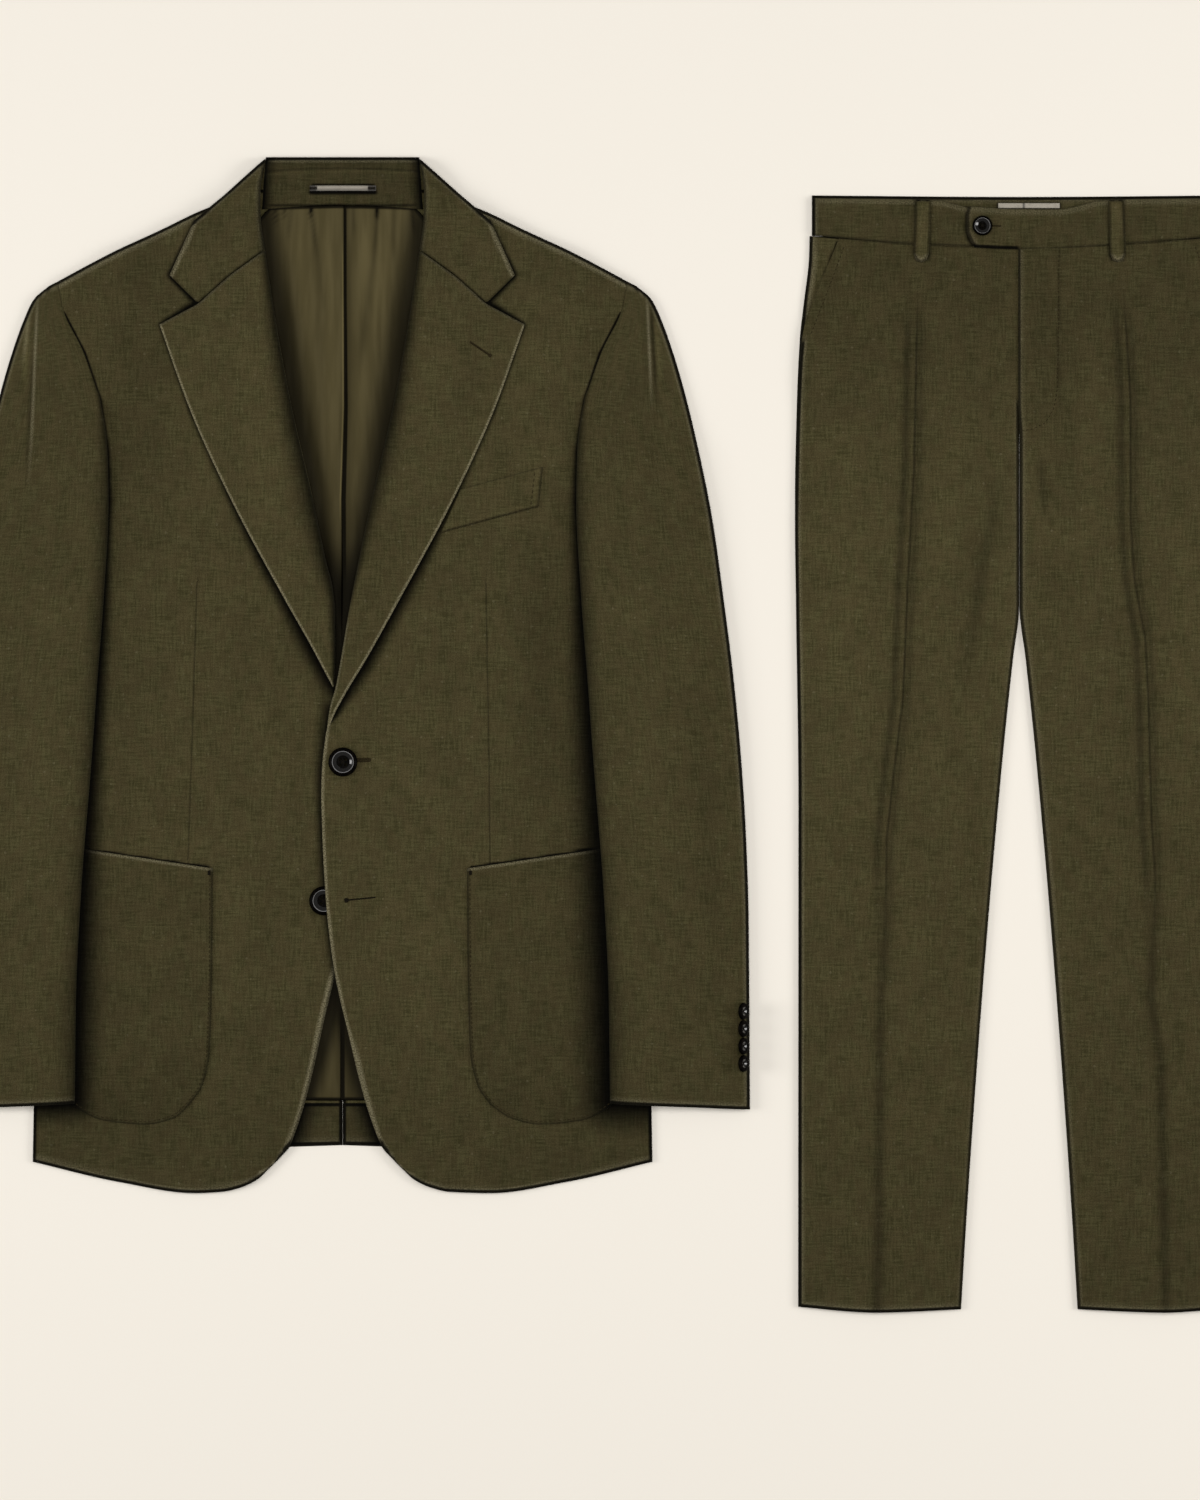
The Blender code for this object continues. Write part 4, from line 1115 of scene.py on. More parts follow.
fall_right = line_of((114, 50.5), (113, 60))
fall_top = line_of((-61.4, 1.2), (0, 0.2), (61.4, 1.2))
fall_foot = line_of((-60, 58), (0, 56), (60, 58))
fall_edges = pattern(mirrored(fall_right), fall_right, top=fall_top, bottom=fall_foot, cornered=True)
fall = sew_piece("jacket_collar_fall", JACKET_AT, 1, fall_edges, even(0), FALL_WALL)
lay(fall, fall_edges, ["collar_fall"])

stand_right = line_of((STAND_HALF_TOP, 0), (STAND_HALF_SEAM, 42))
stand_edges = pattern(mirrored(stand_right), stand_right, bottom=line_of((0, 38)))
stand = sew_piece(
    "jacket_collar_stand", JACKET_AT, 1, stand_edges, stand_under, STAND_WALL,
    cell=(2.0, 1.0),
    edge_highlights={TOP: 0.6},
    outlined={TOP: 1.0, INNER: 0.6, OUTER: 0.6},
    tone=stand_tone,
    shades=[
        *(shade_line(turn, OUTWARD, (61.4, 0, 12), (64.4, 42, 12), start=0.05) for turn in (1, -1)),
        shade_line(1, NEITHER, (-64, 38.8, 3), (64, 38.8, 3), start=0.25),
        shade_line(1, NEITHER, (-25, 28.4, 2.6), (26, 28.4, 2.6), start=-0.25),
        shade_line(1, NEITHER, (-24, 22.4, 2), (25, 22.4, 2), start=0.1),
    ],
)


# ---------------------------------------------------------------- jacket: the hanger loop
# A short pale tape hangs the jacket on a hook. It is tacked to the stand at both ends with close dark
# stitches.

TAPE_PALE = (0.34, 0.31, 0.255)
THREAD_DARK = (0.005, 0.004, 0.0026)
THREAD_OLIVE = (0.0155, 0.0115, 0.005)
RAY_START = 100.0
LOOP_WALL = 1.0
LOOP_BOW = 0.9
LOOP_HALF_PALE = 20.5
LOOP_TOP, LOOP_FOOT = 23.2, 27.4


def make_tape():
    """Woven tape: fine ribs across it that catch the light."""
    material, tree, shader = new_material("grey_tape")
    cut = cut_of(tree)
    rib = add_node(tree, "ShaderNodeTexWave", wave_type="BANDS", bands_direction="X")
    feed(tree, rib, Vector=scaled(tree, cut, 5.0, 5.0), Scale=1.6, Distortion=0.6)
    soil = noise(tree, scaled(tree, cut, 6, 3), 3.0)
    pale = tuple(0.82 * c for c in TAPE_PALE)
    colour = mixed(tree, rib.outputs["Fac"], (*pale, 1), (*TAPE_PALE, 1))
    grey = (*(0.8 * c for c in pale), 1)
    colour = mixed(tree, stretched(tree, soil, 0.45, 0.8, 0.0, 0.5), colour, grey)
    colour = darkened(tree, colour, attribute(tree, "tone"))
    roughness = stretched(tree, soil, 0.2, 0.8, 0.62, 0.8)
    finished(tree, shader, colour, roughness, bumped(tree, 0.5, 0.15, rib.outputs["Fac"]))
    shader.inputs["Sheen Weight"].default_value = 0.15
    return material


def make_thread(name, colour):
    """Twisted thread, with a painted highlight where its plies lie uppermost."""
    material, tree, shader = new_material(name)
    place = add_node(tree, "ShaderNodeTexCoord").outputs["Object"]
    plies = add_node(tree, "ShaderNodeTexNoise")
    high = feed(tree, plies, Vector=place, Scale=2200.0, Detail=1.0).outputs["Fac"]
    colour = mixed(tree, high, (*colour, 1), (*(1.7 * c for c in colour), 1))
    finished(tree, shader, colour, stretched(tree, high, 0.3, 0.7, 0.6, 0.8), bumped(tree, 0.4, 0.1, high))
    shader.inputs["Specular IOR Level"].default_value = 0.03
    return material


def surface_of(*pieces):
    """Finds where the topmost of these pieces' surfaces lies over a place in the pattern."""
    trees = []
    for piece in pieces:
        bm = bmesh.new()
        bm.from_mesh(piece.data)
        trees.append(BVHTree.FromBMesh(bm))
        bm.free()

    def at(origin, x, d):
        start = Vector((origin[0] + x, origin[1] - d, RAY_START)) * MM
        hits = [tree.ray_cast(start, Vector((0, 0, -1)))[0] for tree in trees]
        return max((hit for hit in hits if hit), key=lambda hit: hit.z, default=None)

    return at


def sew_stitches(name, at, surface, runs, material, length=2.5, pitch=3.6, radius=0.27):
    """Rows of short stitches as one piece. Each run is a line of places (x, down) that they follow."""
    bm = bmesh.new()
    for run in runs:
        points = np.array(run, float)
        steps = np.hypot(*np.diff(points, axis=0).T)
        marks = np.concatenate(((0,), np.cumsum(steps)))
        for mark in np.arange(pitch / 2, marks[-1], pitch):
            ends = [
                surface(at, *(np.interp(mark + reach, marks, points[:, i]) for i in (0, 1)))
                for reach in (-length / 2, length / 2)
            ]
            if None in ends:
                continue
            along = ends[1] - ends[0]
            turn = along.to_track_quat("X", "Z").to_matrix().to_4x4()
            place = Matrix.Translation((ends[0] + ends[1]) / 2 + Vector((0, 0, 0.06)) * MM)
            stretch = Matrix.Diagonal((along.length / 2, radius * MM, radius * 0.8 * MM, 1))
            bmesh.ops.create_uvsphere(bm, u_segments=6, v_segments=4, radius=1, matrix=place @ turn @ stretch)
    stitches = add_piece(mesh_of(bm, name), name, material)
    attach(stitches, "root")
    return stitches


def loop_under(x, d, s, t):
    """The tape bows up a little between its tacks."""
    return stand_under(x, d, s, t) + STAND_WALL + GAP + LOOP_BOW * (1 - (2 * s - 1) ** 2)


TAPE = make_tape()
DARK_THREAD = make_thread("dark_thread", THREAD_DARK)
OLIVE_THREAD = make_thread("olive_thread", THREAD_OLIVE)
loop_edges = pattern(
    line_of((-LOOP_HALF_PALE - 5.6, LOOP_TOP), (-LOOP_HALF_PALE - 5.6, LOOP_FOOT)),
    line_of((LOOP_HALF_PALE + 6.4, LOOP_TOP), (LOOP_HALF_PALE + 6.4, LOOP_FOOT)),
)
loop = sew_piece(
    "jacket_hanger_loop", JACKET_AT, 1, loop_edges, loop_under, LOOP_WALL,
    material=TAPE,
    cell=(1.2, 0.8),
    outlined={TOP: 0.2, FOOT: 0.5},
    tone=lambda x, d, s, t: 0.9 * (1 - 0.8 * ease(np.abs(x), LOOP_HALF_PALE - 1, LOOP_HALF_PALE + 1)),
)
stand_in(loop, ["hanger_loop"])
tack_rows = [
    [(x, LOOP_TOP + 0.3), (x, LOOP_FOOT - 0.3)]
    for start in (-LOOP_HALF_PALE - 5.2, LOOP_HALF_PALE + 0.2)
    for x in np.arange(start, start + 5.6, 0.6)
]
loop_tacks = sew_stitches(
    "jacket_hanger_loop_tacks", JACKET_AT, surface_of(loop, stand), tack_rows, DARK_THREAD,
    length=4.4, radius=0.42,
)
lay(stand, stand_edges, ["collar_stand"])


# ---------------------------------------------------------------- jacket: the pockets
# A slanted welt closes the chest pocket, and two patch pockets with round corners are sewn to the fronts near
# their edges. A bar of close stitches stops the inner end of each patch pocket's mouth.

POCKET_WALL = 1.4
WELT_TOP = line_of((94.5, 266), (160.5, 248))
WELT_FOOT = line_of((78.5, 301), (157, 280))
POCKET_INNER = line_of((99.6, 569), (100, 640), (102, 715), (108, 743), (118, 758))
POCKET_OUTER = line_of((238, 549), (239, 640), (238, 715), (233, 738), (224, 750))
POCKET_FOOT = line_of((135, 769), (158, 774), (190, 771), (211, 762))
STITCH_INSET = 2.4
BAR_ROWS = (2.2, 2.9, 3.6, 4.3, 5.0)
BAR_ENDS = (1.4, 4.4)
WELT_ROWS = (("o", 6.2), ("b", 0.9))


def pocket_under(side):
    """A pocket lies on its front and stands open a little at the mouth."""
    face = front_face(side)

    def under(x, d, s, t):
        return face(x, d, s, t) + GAP + 1.1 * (1 - ease(t, 0, 0.16)) * bulge(s, 0.3) * bulge(1 - s, 0.3)

    return under


def inset_run(edges, sides, inset):
    """The points a little inside a pattern's named edges, in order: i inner, b bottom, o outer, t top."""
    share = np.linspace(0, 1, 60)
    centre = spot(edges, 0.5, 0.5)
    runs = {
        "i": edges[0](share),
        "b": edges[3](share),
        "o": edges[1](share[::-1]),
        "t": edges[2](share[::-1]),
    }
    rim = np.concatenate([runs[side] for side in sides])
    rim = rim[np.concatenate(((True,), np.abs(np.diff(rim)) > 0.05))]
    along = np.gradient(rim)
    inward = along / np.abs(along) * 1j
    inward = np.where((inward * (centre - rim).conjugate()).real > 0, inward, -inward)
    return rim + inset * inward


def mirrored_run(run, side):
    return [(side * p.real, p.imag) for p in run]


def pocket_tone(x, d, s, t):
    """A pocket is a little darker than its front, most at its foot, and a little lighter down its middle."""
    return front_tone(x, d, s, t) * (0.88 - 0.06 * ease(t, 0.7, 1)) * (1 + 0.06 * hump(s - 0.4, 0.2))


welt_edges = pattern((WELT_TOP[0], WELT_FOOT[0]), (WELT_TOP[1], WELT_FOOT[1]))
welt = sew_piece(
    "jacket_breast_welt", JACKET_AT, 1, welt_edges, raised(front_face(1), GAP), POCKET_WALL,
    cell=(1.6, 1.6),
    outlined={OUTER: 0.5, FOOT: 0.45, TOP: 0.15},
    # Painted highlight: a pale band near the welt's outer end and another near its foot.
    tone=lambda x, d, s, t: 1 + 0.22 * hump(s - 0.94, 0.02) + 0.12 * hump(t - 0.88, 0.06),
)
welt_runs = [mirrored_run(inset_run(welt_edges, side, inset), 1) for side, inset in WELT_ROWS]
welt_stitches = sew_stitches(
    "jacket_breast_welt_stitches", JACKET_AT, surface_of(welt), welt_runs, OLIVE_THREAD,
    length=3.4, pitch=4.6, radius=0.34,
)
lay(welt, welt_edges, ["breast_welt"])

for side, hand in SIDES:
    pocket_inner = [Point(p.across + POCKET_SHIFT[side], p.down) for p in POCKET_INNER]
    pocket_edges = pattern(pocket_inner, POCKET_OUTER, bottom=POCKET_FOOT)
    pocket = sew_piece(
        f"jacket_patch_pocket_{hand}", JACKET_AT, side, pocket_edges, pocket_under(side), POCKET_WALL,
        cell=(2.8, 2.8),
        edge_highlights={TOP: 0.6},
        highlight_within=(1.6, 2.8),
        outlined={TOP: 0.15, INNER: 0.55, FOOT: 0.4},
        tone=pocket_tone,
        shades=[sleeve_shade(side)],
    )
    pocket_runs = [mirrored_run(inset_run(pocket_edges, "ibo", STITCH_INSET), side)]
    on_pocket = surface_of(pocket, fronts[side])
    stitches = sew_stitches(
        f"jacket_patch_pocket_{hand}_stitches", JACKET_AT, on_pocket, pocket_runs, OLIVE_THREAD,
        length=2.8, pitch=3.8, radius=0.3,
    )
    mouth = spot(pocket_edges, 0.0, 0.0)
    bar = [[(side * (mouth.real + x), mouth.imag + row) for x in BAR_ENDS] for row in BAR_ROWS]
    bars = sew_stitches(
        f"jacket_patch_pocket_{hand}_bar", JACKET_AT, on_pocket, bar, DARK_THREAD,
        length=3.0, pitch=3.0, radius=0.45,
    )
    lay(pocket, pocket_edges, [f"patch_pocket_{hand}"])


# ---------------------------------------------------------------- jacket: the sleeves
# Each sleeve is a tube of two pieces, set into the armhole with a little spare cloth at its head. It lies
# half on the body and half on the floor, and stays round because it is lined and its cloth has body.

SLEEVE_WALL = 1.3
SLEEVE_INNER = line_of(
    (226.6, 98.9), (222.6, 121), (205.6, 157), (193.6, 194), (187.8, 235), (187, 275), (191, 354),
    (196, 418), (200, 474), (209.5, 598), (213, 674), (214, 757),
)
SLEEVE_OUTER = line_of(
    (235, 103), (247, 113.4), (255, 130), (261, 146), (271, 178), (283, 226), (296, 290), (305, 354),
    (313, 418), (319, 482), (323, 546), (325, 610), (326, 762),
)
# Painted shade along the sleeve's own edges, where it rounds away and turns under.
SLEEVE_TURN_IN = (
    (222, 121, 1), (205.6, 157, 2), (193.6, 194, 7), (187.8, 235, 18), (187, 275, 22), (191, 354, 24),
    (200, 514, 28), (213, 674, 30), (214, 757, 30),
)
SLEEVE_TURN_OUT = ((261, 146, 6), (283, 226, 8), (305, 354, 9), (319, 482, 9), (325, 610, 9), (326, 762, 9))
# Painted light and shade: pale and dark streaks at the sleeve heads and soft bands down the sleeves.
SLEEVE_TONES = {
    1: (
        Fold(246.6, 112, 251.6, 205, 1.6, -0.5),
        Fold(250, 126, 255, 190, 2.6, 0.25),
        Fold(241, 120, 243.5, 190, 2.0, -0.16),
        Fold(228, 150, 262, 330, 12, -0.08),
        Fold(290, 420, 306, 740, 14, -0.1),
        Fold(225, 300, 250, 600, 16, 0.08),
    ),
    -1: (
        Fold(-247, 150, -252.6, 268, 1.5, -0.35),
        Fold(-251, 120, -255, 190, 2.2, 0.4),
        Fold(-228, 150, -256, 330, 12, -0.06),
        Fold(-226, 320, -246, 620, 18, 0.08),
    ),
}
# Painted highlights: pale streaks down the sleeve heads, as light on their creases.
SLEEVE_HIGHLIGHTS = (
    Fold(243.4, 106, 247.6, 205, 1.1, 0.8),
    Fold(-243.6, 106, -249.6, 266, 1.1, 0.75),
    Fold(-250, 120, -256, 170, 1.6, 0.3),
)
SLEEVE_FOLDS = (
    Fold(240, 112, 247, 215, 3, 1.3),
    Fold(245, 112, 252, 215, 2.4, -1.3),
    Fold(250, 118, 258, 215, 3, 1.0),
    Fold(-244, 108, -252, 250, 3, 1.5),
    Fold(-250, 118, -258, 250, 4, -1.1),
    Fold(238, 178, 258, 300, 11, -1.8),
    Fold(256, 260, 272, 560, 13, -1.7),
    Fold(270, 500, 292, 740, 12, -1.4),
    Fold(-238, 190, -256, 320, 11, -1.4),
    Fold(-256, 280, -268, 560, 14, -1.5),
    Fold(-266, 500, -284, 740, 12, -1.3),
    Fold(216, 300, 232, 520, 12, 1.2),
    Fold(-214, 300, -230, 520, 12, 1.2),
    Fold(240, 600, 246, 750, 12, 1.0),
    Fold(-238, 600, -246, 750, 12, 1.0),
    Fold(205, 225, 262, 262, 9, 1.3),
    Fold(-205, 225, -262, 262, 9, 1.2),
)


def down_of(line, x):
    """How far down a line that runs across the garment lies."""
    return np.interp(x, [p.across for p in line], [p.down for p in line])


def sleeve_base(x, d, s, t):
    """A sleeve's inner side lies on the body and its pocket, and its outer side on the floor."""
    wide = np.abs(x)
    below_armhole = ease(d - down_of(ARMHOLE[3:], wide), -95, -50)
    on_body = (1 - ease(wide, 260, 290)) * below_armhole
    pocket = (GAP + POCKET_WALL) * ease(d, 515, 540) * (1 - ease(d, 785, 810)) * (1 - ease(wide, 245, 268))
    return (front_under(x, d, s, t) + FRONT_WALL + GAP + pocket) * on_body


def sleeve_crown(x, d, s, t):
    from_inner, from_outer = edge_gaps(sleeve_edges, s, t)[:2]
    round_in = bulge(from_inner, 7 + 15 * ease(d, 150, 300))
    round_out = bulge(from_outer, 24 - 8 * ease(d, 560, 700))
    height = 3.4 + 7.0 * ease(d, 120, 300) - 2.4 * ease(d, 430, 760)
    dome = round_in * round_out * (0.82 + 0.18 * (1 - (2 * s - 1) ** 2))
    return sleeve_base(x, d, s, t) + CLOTH + GAP + (height + folded(SLEEVE_FOLDS, x, d)) * dome


# Painted light and shade on the sleeve, which is also a little darker towards the cuff.
def sleeve_tone(x, d, s, t):
    side_tones = np.where(x > 0, folded(SLEEVE_TONES[1], x, d), folded(SLEEVE_TONES[-1], x, d))
    return 0.95 + side_tones - 0.05 * ease(d, 620, 740)


sleeve_edges = pattern(SLEEVE_INNER, SLEEVE_OUTER)
sleeves = {}
for side, hand in SIDES:
    sleeve_under = sew_piece(
        f"jacket_sleeve_under_{hand}", JACKET_AT, side, sleeve_edges, sleeve_base, CLOTH,
        cell=(6, 6),
        along=True,
    )
    lay(sleeve_under, sleeve_edges, [f"sleeve_under_{hand}"])
    sleeve_upper = sew_piece(
        f"jacket_sleeve_upper_{hand}", JACKET_AT, side, sleeve_edges, sleeve_crown, SLEEVE_WALL,
        cell=(1.3, 4),
        edge_highlights={FOOT: 0.45, OUTER: 0.4, TOP: 0.4},
        outlined={OUTER: 1.0, INNER: 0.25, FOOT: 1.0, TOP: 0.9},
        since={INNER: 116},
        tone=sleeve_tone,
        shades=[
            shade_line(side, NEITHER, *SLEEVE_TURN_IN, start=0.4),
            shade_line(side, NEITHER, *SLEEVE_TURN_OUT, start=0.55),
        ],
        extra_highlights=lambda x, d: folded(SLEEVE_HIGHLIGHTS, x, d),
        along=True,
    )
    lay(sleeve_upper, sleeve_edges, [f"sleeve_upper_{hand}"])
    sleeves[side] = sleeve_upper


# ---------------------------------------------------------------- jacket: the buttons and buttonholes
# The buttons are turned from dark horn and polished, with a raised rim round a dished middle and four holes.
# The upper front button is fastened, the lower lies loose under the left front, and four sit at each cuff.

FRONT_BUTTON = (11.6, 3.2)
CUFF_BUTTON = (6.9, 2.4)
FRONT_DISH = {"dish": 0.4, "slope": (0.46, 0.7), "crest": 0.75, "polished": 0.76}
CUFF_DISH = {"dish": 0.5, "slope": (0.16, 0.5), "crest": 0.88, "polished": 0.5}
CUFF_BUTTON_FIRST, CUFF_BUTTON_PITCH = 683.0, 13.9
CUFF_BUTTON_ACROSS = 319.6
HORN_BLACK = (0.0014, 0.0011, 0.0008)
HORN_BROWN = (0.0045, 0.0034, 0.0024)
CUFF_BUTTON_AXIS = (0.83, 0, 0.558)
CUFF_BUTTON_LIFT = 2.4
HOLE_RADIUS = 0.105
HOLE_ASIDE = 0.17
FULL_TURN = 6.283185307


def make_horn():
    """Polished horn: nearly black, with brown streaks through it and fine scratches from its polishing."""
    material, tree, shader = new_material("dark_horn")
    place = add_node(tree, "ShaderNodeTexCoord").outputs["Object"]
    streaks = add_node(tree, "ShaderNodeTexNoise")
    stretch = add_node(tree, "ShaderNodeVectorMath", operation="MULTIPLY")
    feed(tree, stretch, i0=place, i1=(520.0, 130.0, 300.0))
    feed(tree, streaks, Vector=stretch.outputs[0], Scale=1.0, Detail=4.0, Distortion=0.8)
    scratches = add_node(tree, "ShaderNodeTexNoise")
    feed(tree, scratches, Vector=place, Scale=1900.0, Detail=2.0)
    share = stretched(tree, streaks.outputs["Fac"], 0.48, 0.7)
    colour = mixed(tree, share, (*HORN_BLACK, 1), (*HORN_BROWN, 1))
    relief = bumped(tree, 0.12, 0.05, scratches.outputs["Fac"])
    finished(tree, shader, colour, stretched(tree, scratches.outputs["Fac"], 0.3, 0.7, 0.3, 0.42), relief)
    feed(tree, shader, **{"Coat Weight": attribute(tree, "polish")})
    shader.inputs["Coat Roughness"].default_value = 0.1
    shader.inputs["Specular IOR Level"].default_value = 0.01
    return material


def turned_button(name, radius, thickness, dish, slope, crest, polished):
    """A button turned on a lathe: a flat back, and a dish whose polished slope rises to a level crest.

    dish is the height of the dish's floor, slope the radii where its wall starts and ends, crest where the
    crest ends, and polished where the polish does, as shares of the thickness and of the radius.
    """
    start, end = slope
    profile = (
        (0, dish),
        (start - 0.02, dish),
        (start + 0.02, dish + 0.04),
        (end - 0.02, 0.97),
        (end + 0.02, 1.0),
        (crest, 1.0),
        (crest + 0.03, 0.96),
        (0.94, 0.74),
        (0.98, 0.52),
        (1.0, 0.38),
        (0.97, 0.2),
        (0.9, 0.06),
        (0.78, 0),
        (0, 0),
    )
    bm = bmesh.new()
    verts = [bm.verts.new((r * radius * MM, 0, z * thickness * MM)) for r, z in profile]
    edges = [bm.edges.new(pair) for pair in zip(verts, verts[1:])]
    bmesh.ops.spin(bm, geom=verts + edges, axis=(0, 0, 1), angle=FULL_TURN, steps=40, use_merge=True)
    bmesh.ops.remove_doubles(bm, verts=bm.verts[:], dist=0.004 * MM)
    bmesh.ops.recalc_face_normals(bm, faces=bm.faces[:])
    blank_mesh = mesh_of(bm, name)
    drill = bmesh.new()
    hole = HOLE_RADIUS * radius
    for x in (-1, 1):
        for y in (-1, 1):
            place = Matrix.Translation(Vector((x, y, 0)) * HOLE_ASIDE * radius * MM)
            size = {"radius1": hole * MM, "radius2": hole * MM, "depth": 3 * thickness * MM}
            bmesh.ops.create_cone(drill, cap_ends=True, segments=12, matrix=place, **size)
    blank = bpy.data.objects.new("button_blank", blank_mesh)
    cutter = bpy.data.objects.new("button_drill", mesh_of(drill, "drill"))
    for piece in (blank, cutter):
        bpy.context.scene.collection.objects.link(piece)
    cut = blank.modifiers.new("holes", "BOOLEAN")
    cut.object = cutter
    cut.solver = "EXACT"
    drilled = bpy.data.meshes.new_from_object(blank.evaluated_get(bpy.context.evaluated_depsgraph_get()))
    for piece in (blank, cutter):
        bpy.data.objects.remove(piece)
    places = np.array([v.co for v in drilled.vertices]) / MM
    out = np.hypot(places[:, 0], places[:, 1]) / radius
    on_ring = (out > start) & (out < polished) & (places[:, 2] > 0.3 * thickness)
    set_attribute(drilled, "polish", on_ring * 1.0)
    return drilled, radius, thickness


def sew_button(garment, node, turned, at, surface, x, d, lift=0.1, axis=(0, 0, 1)):
    """A button a little off its cloth, with two crossed pairs of strands of thread through its holes."""
    name = f"{garment}_{node}"
    mesh, radius, thickness = turned
    hit = surface(at, x, d)
    axis = Vector(axis)
    turn = axis.to_track_quat("Z", "Y").to_matrix().to_4x4()
    place = Matrix.Translation(hit + Vector((0, 0, lift)) * MM) @ turn
    shape = mesh.copy()
    shape.transform(place)
    shape.materials.clear()
    button = add_piece(shape, name, HORN)
    button.data.set_sharp_from_angle(angle=0.7)
    stand_in(button, [node])
    bm = bmesh.new()
    for angle in (45, 135):
        for beside in (-0.3, 0.3):
            across = Matrix.Rotation(np.radians(angle), 4, "Z")
            bar = across @ Matrix.Translation(Vector((0, beside, 0.42 * thickness)) * MM)
            stretch = Matrix.Diagonal((0.24 * radius * MM, 0.3 * MM, 0.34 * MM, 1))
            bmesh.ops.create_uvsphere(bm, u_segments=8, v_segments=6, radius=1, matrix=place @ bar @ stretch)
    strands = add_piece(mesh_of(bm, name + "_thread"), name + "_thread", DARK_THREAD)
    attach(strands, "root")


def work_buttonhole(name, at, surface, start, end, thread, half_width, eye=0):
    """A buttonhole: close stitches worked round a slit, and round an eyelet at its start."""
    bm = bmesh.new()
    start, end = complex(*start), complex(*end)
    along = (end - start) / abs(end - start)
    share = np.linspace(0, 1, max(8, int(abs(end - start) / 0.55)))
    rim = [(start + s * (end - start), side * along * 1j, half_width) for side in (-1, 1) for s in share]
    rim += [(end, along * np.exp(1j * a), half_width) for a in (-1.0, -0.5, 0, 0.5, 1.0)]
    rim += [(start, np.exp(1j * a), max(eye, half_width)) for a in np.linspace(0, 6.0, 14)]
    for base, out, wide in rim:
        middle = base + out * wide * 0.5
        centre = surface(at, middle.real, middle.imag) + Vector((0, 0, 0.1)) * MM
        turn = Vector((out.real, -out.imag, 0)).to_track_quat("X", "Z").to_matrix().to_4x4()
        stretch = Matrix.Diagonal((wide * 0.62 * MM, 0.36 * MM, 0.32 * MM, 1))
        place = Matrix.Translation(centre) @ turn @ stretch
        bmesh.ops.create_uvsphere(bm, u_segments=6, v_segments=4, radius=1, matrix=place)
    worked = add_piece(mesh_of(bm, name), name, thread)
    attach(worked, "root")


HORN = make_horn()
front_button = turned_button("front_button", *FRONT_BUTTON, **FRONT_DISH)
cuff_button = turned_button("cuff_button", *CUFF_BUTTON, **CUFF_DISH)
on_left_front = surface_of(fronts[1])
on_right_front = surface_of(fronts[-1])
sew_button("jacket", "front_button_upper", front_button, JACKET_AT, on_left_front, *UPPER_BUTTON_AT, lift=0.4)
sew_button("jacket", "front_button_lower", front_button, JACKET_AT, on_right_front, *LOWER_BUTTON_AT)
for side, hand in SIDES:
    on_sleeve = surface_of(sleeves[side])
    for number in range(4):
        down = CUFF_BUTTON_FIRST + number * CUFF_BUTTON_PITCH
        node = f"cuff_button_{hand}_{number + 1}"
        across = side * CUFF_BUTTON_ACROSS
        axis = (side * CUFF_BUTTON_AXIS[0], *CUFF_BUTTON_AXIS[1:])
        sew_button("jacket", node, cuff_button, JACKET_AT, on_sleeve, across, down, CUFF_BUTTON_LIFT, axis)
for name, surface, start, end, thread, half_width, eye in (
    ("jacket_lapel_buttonhole", surface_of(lapels[1]), (118.2, 159.4), (102.8, 149), OLIVE_THREAD, 0.8, 1.5),
    ("jacket_upper_buttonhole", on_left_front, (4, 482.6), (21.4, 482.4), OLIVE_THREAD, 1.7, 0),
    ("jacket_lower_buttonhole", on_left_front, (3.4, 594.4), (26, 592.2), DARK_THREAD, 0.6, 2.1),
):
    work_buttonhole(name, JACKET_AT, surface, start, end, thread, half_width, eye)


# ---------------------------------------------------------------- trousers: the legs
# Each leg is a back and a front. The fronts are pressed with a sharp crease down the middle, close over a fly
# whose left side laps over the right, and leave a facing of the same cloth in view beside each slanted pocket
# mouth.

waist_low, waist_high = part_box("waistband_back")
TROUSERS_AT = ((waist_low.x + waist_high.x) / 2 / MM, waist_high.y / MM)
LEG_WALL = 1.3
FACING_WALL = 1.0
LEG_SWELL = 3.0
SEAT_TOP, FLY_TOP, FLY_FOOT = 31.2, 41.2, 187.0
FLY_LAP = 1.7
LEG_SIDE = line_of(
    (167.6, 31), (168.4, 50), (172.4, 84), (175.6, 112), (178, 163), (179.6, 243), (178.8, 323),
    (176.8, 483), (177, 888),
)
FRONT_LEG_SIDE = line_of(
    (144.6, 33), (173.6, 110.5), (176.4, 138), (178.6, 203), (179.6, 263), (178.8, 323), (176.8, 483),
    (177, 888),
)
INSEAM = line_of(
    (HALF_SEAM, 326), (5.2, 370), (12, 434), (18, 498), (23.6, 562), (33.6, 690), (42.4, 818), (46.7, 890),
)
LEG_HEM = line_of((115.6, 892.4))
RIGHT_CREASE = line_of(
    (-82.8, 60), (-85, 162), (-86, 214), (-91, 306), (-95, 402), (-103, 466), (-108, 514), (-109, 594),
    (-112.4, 642), (-114, 834), (-115.6, 892),
)
LEFT_CREASE = line_of(
    (80, 60), (84, 114), (86.8, 162), (87, 258), (90, 306), (98.8, 354), (101.2, 402), (103.6, 498),
    (106.8, 546), (104, 642), (111.6, 690), (115.6, 892),
)
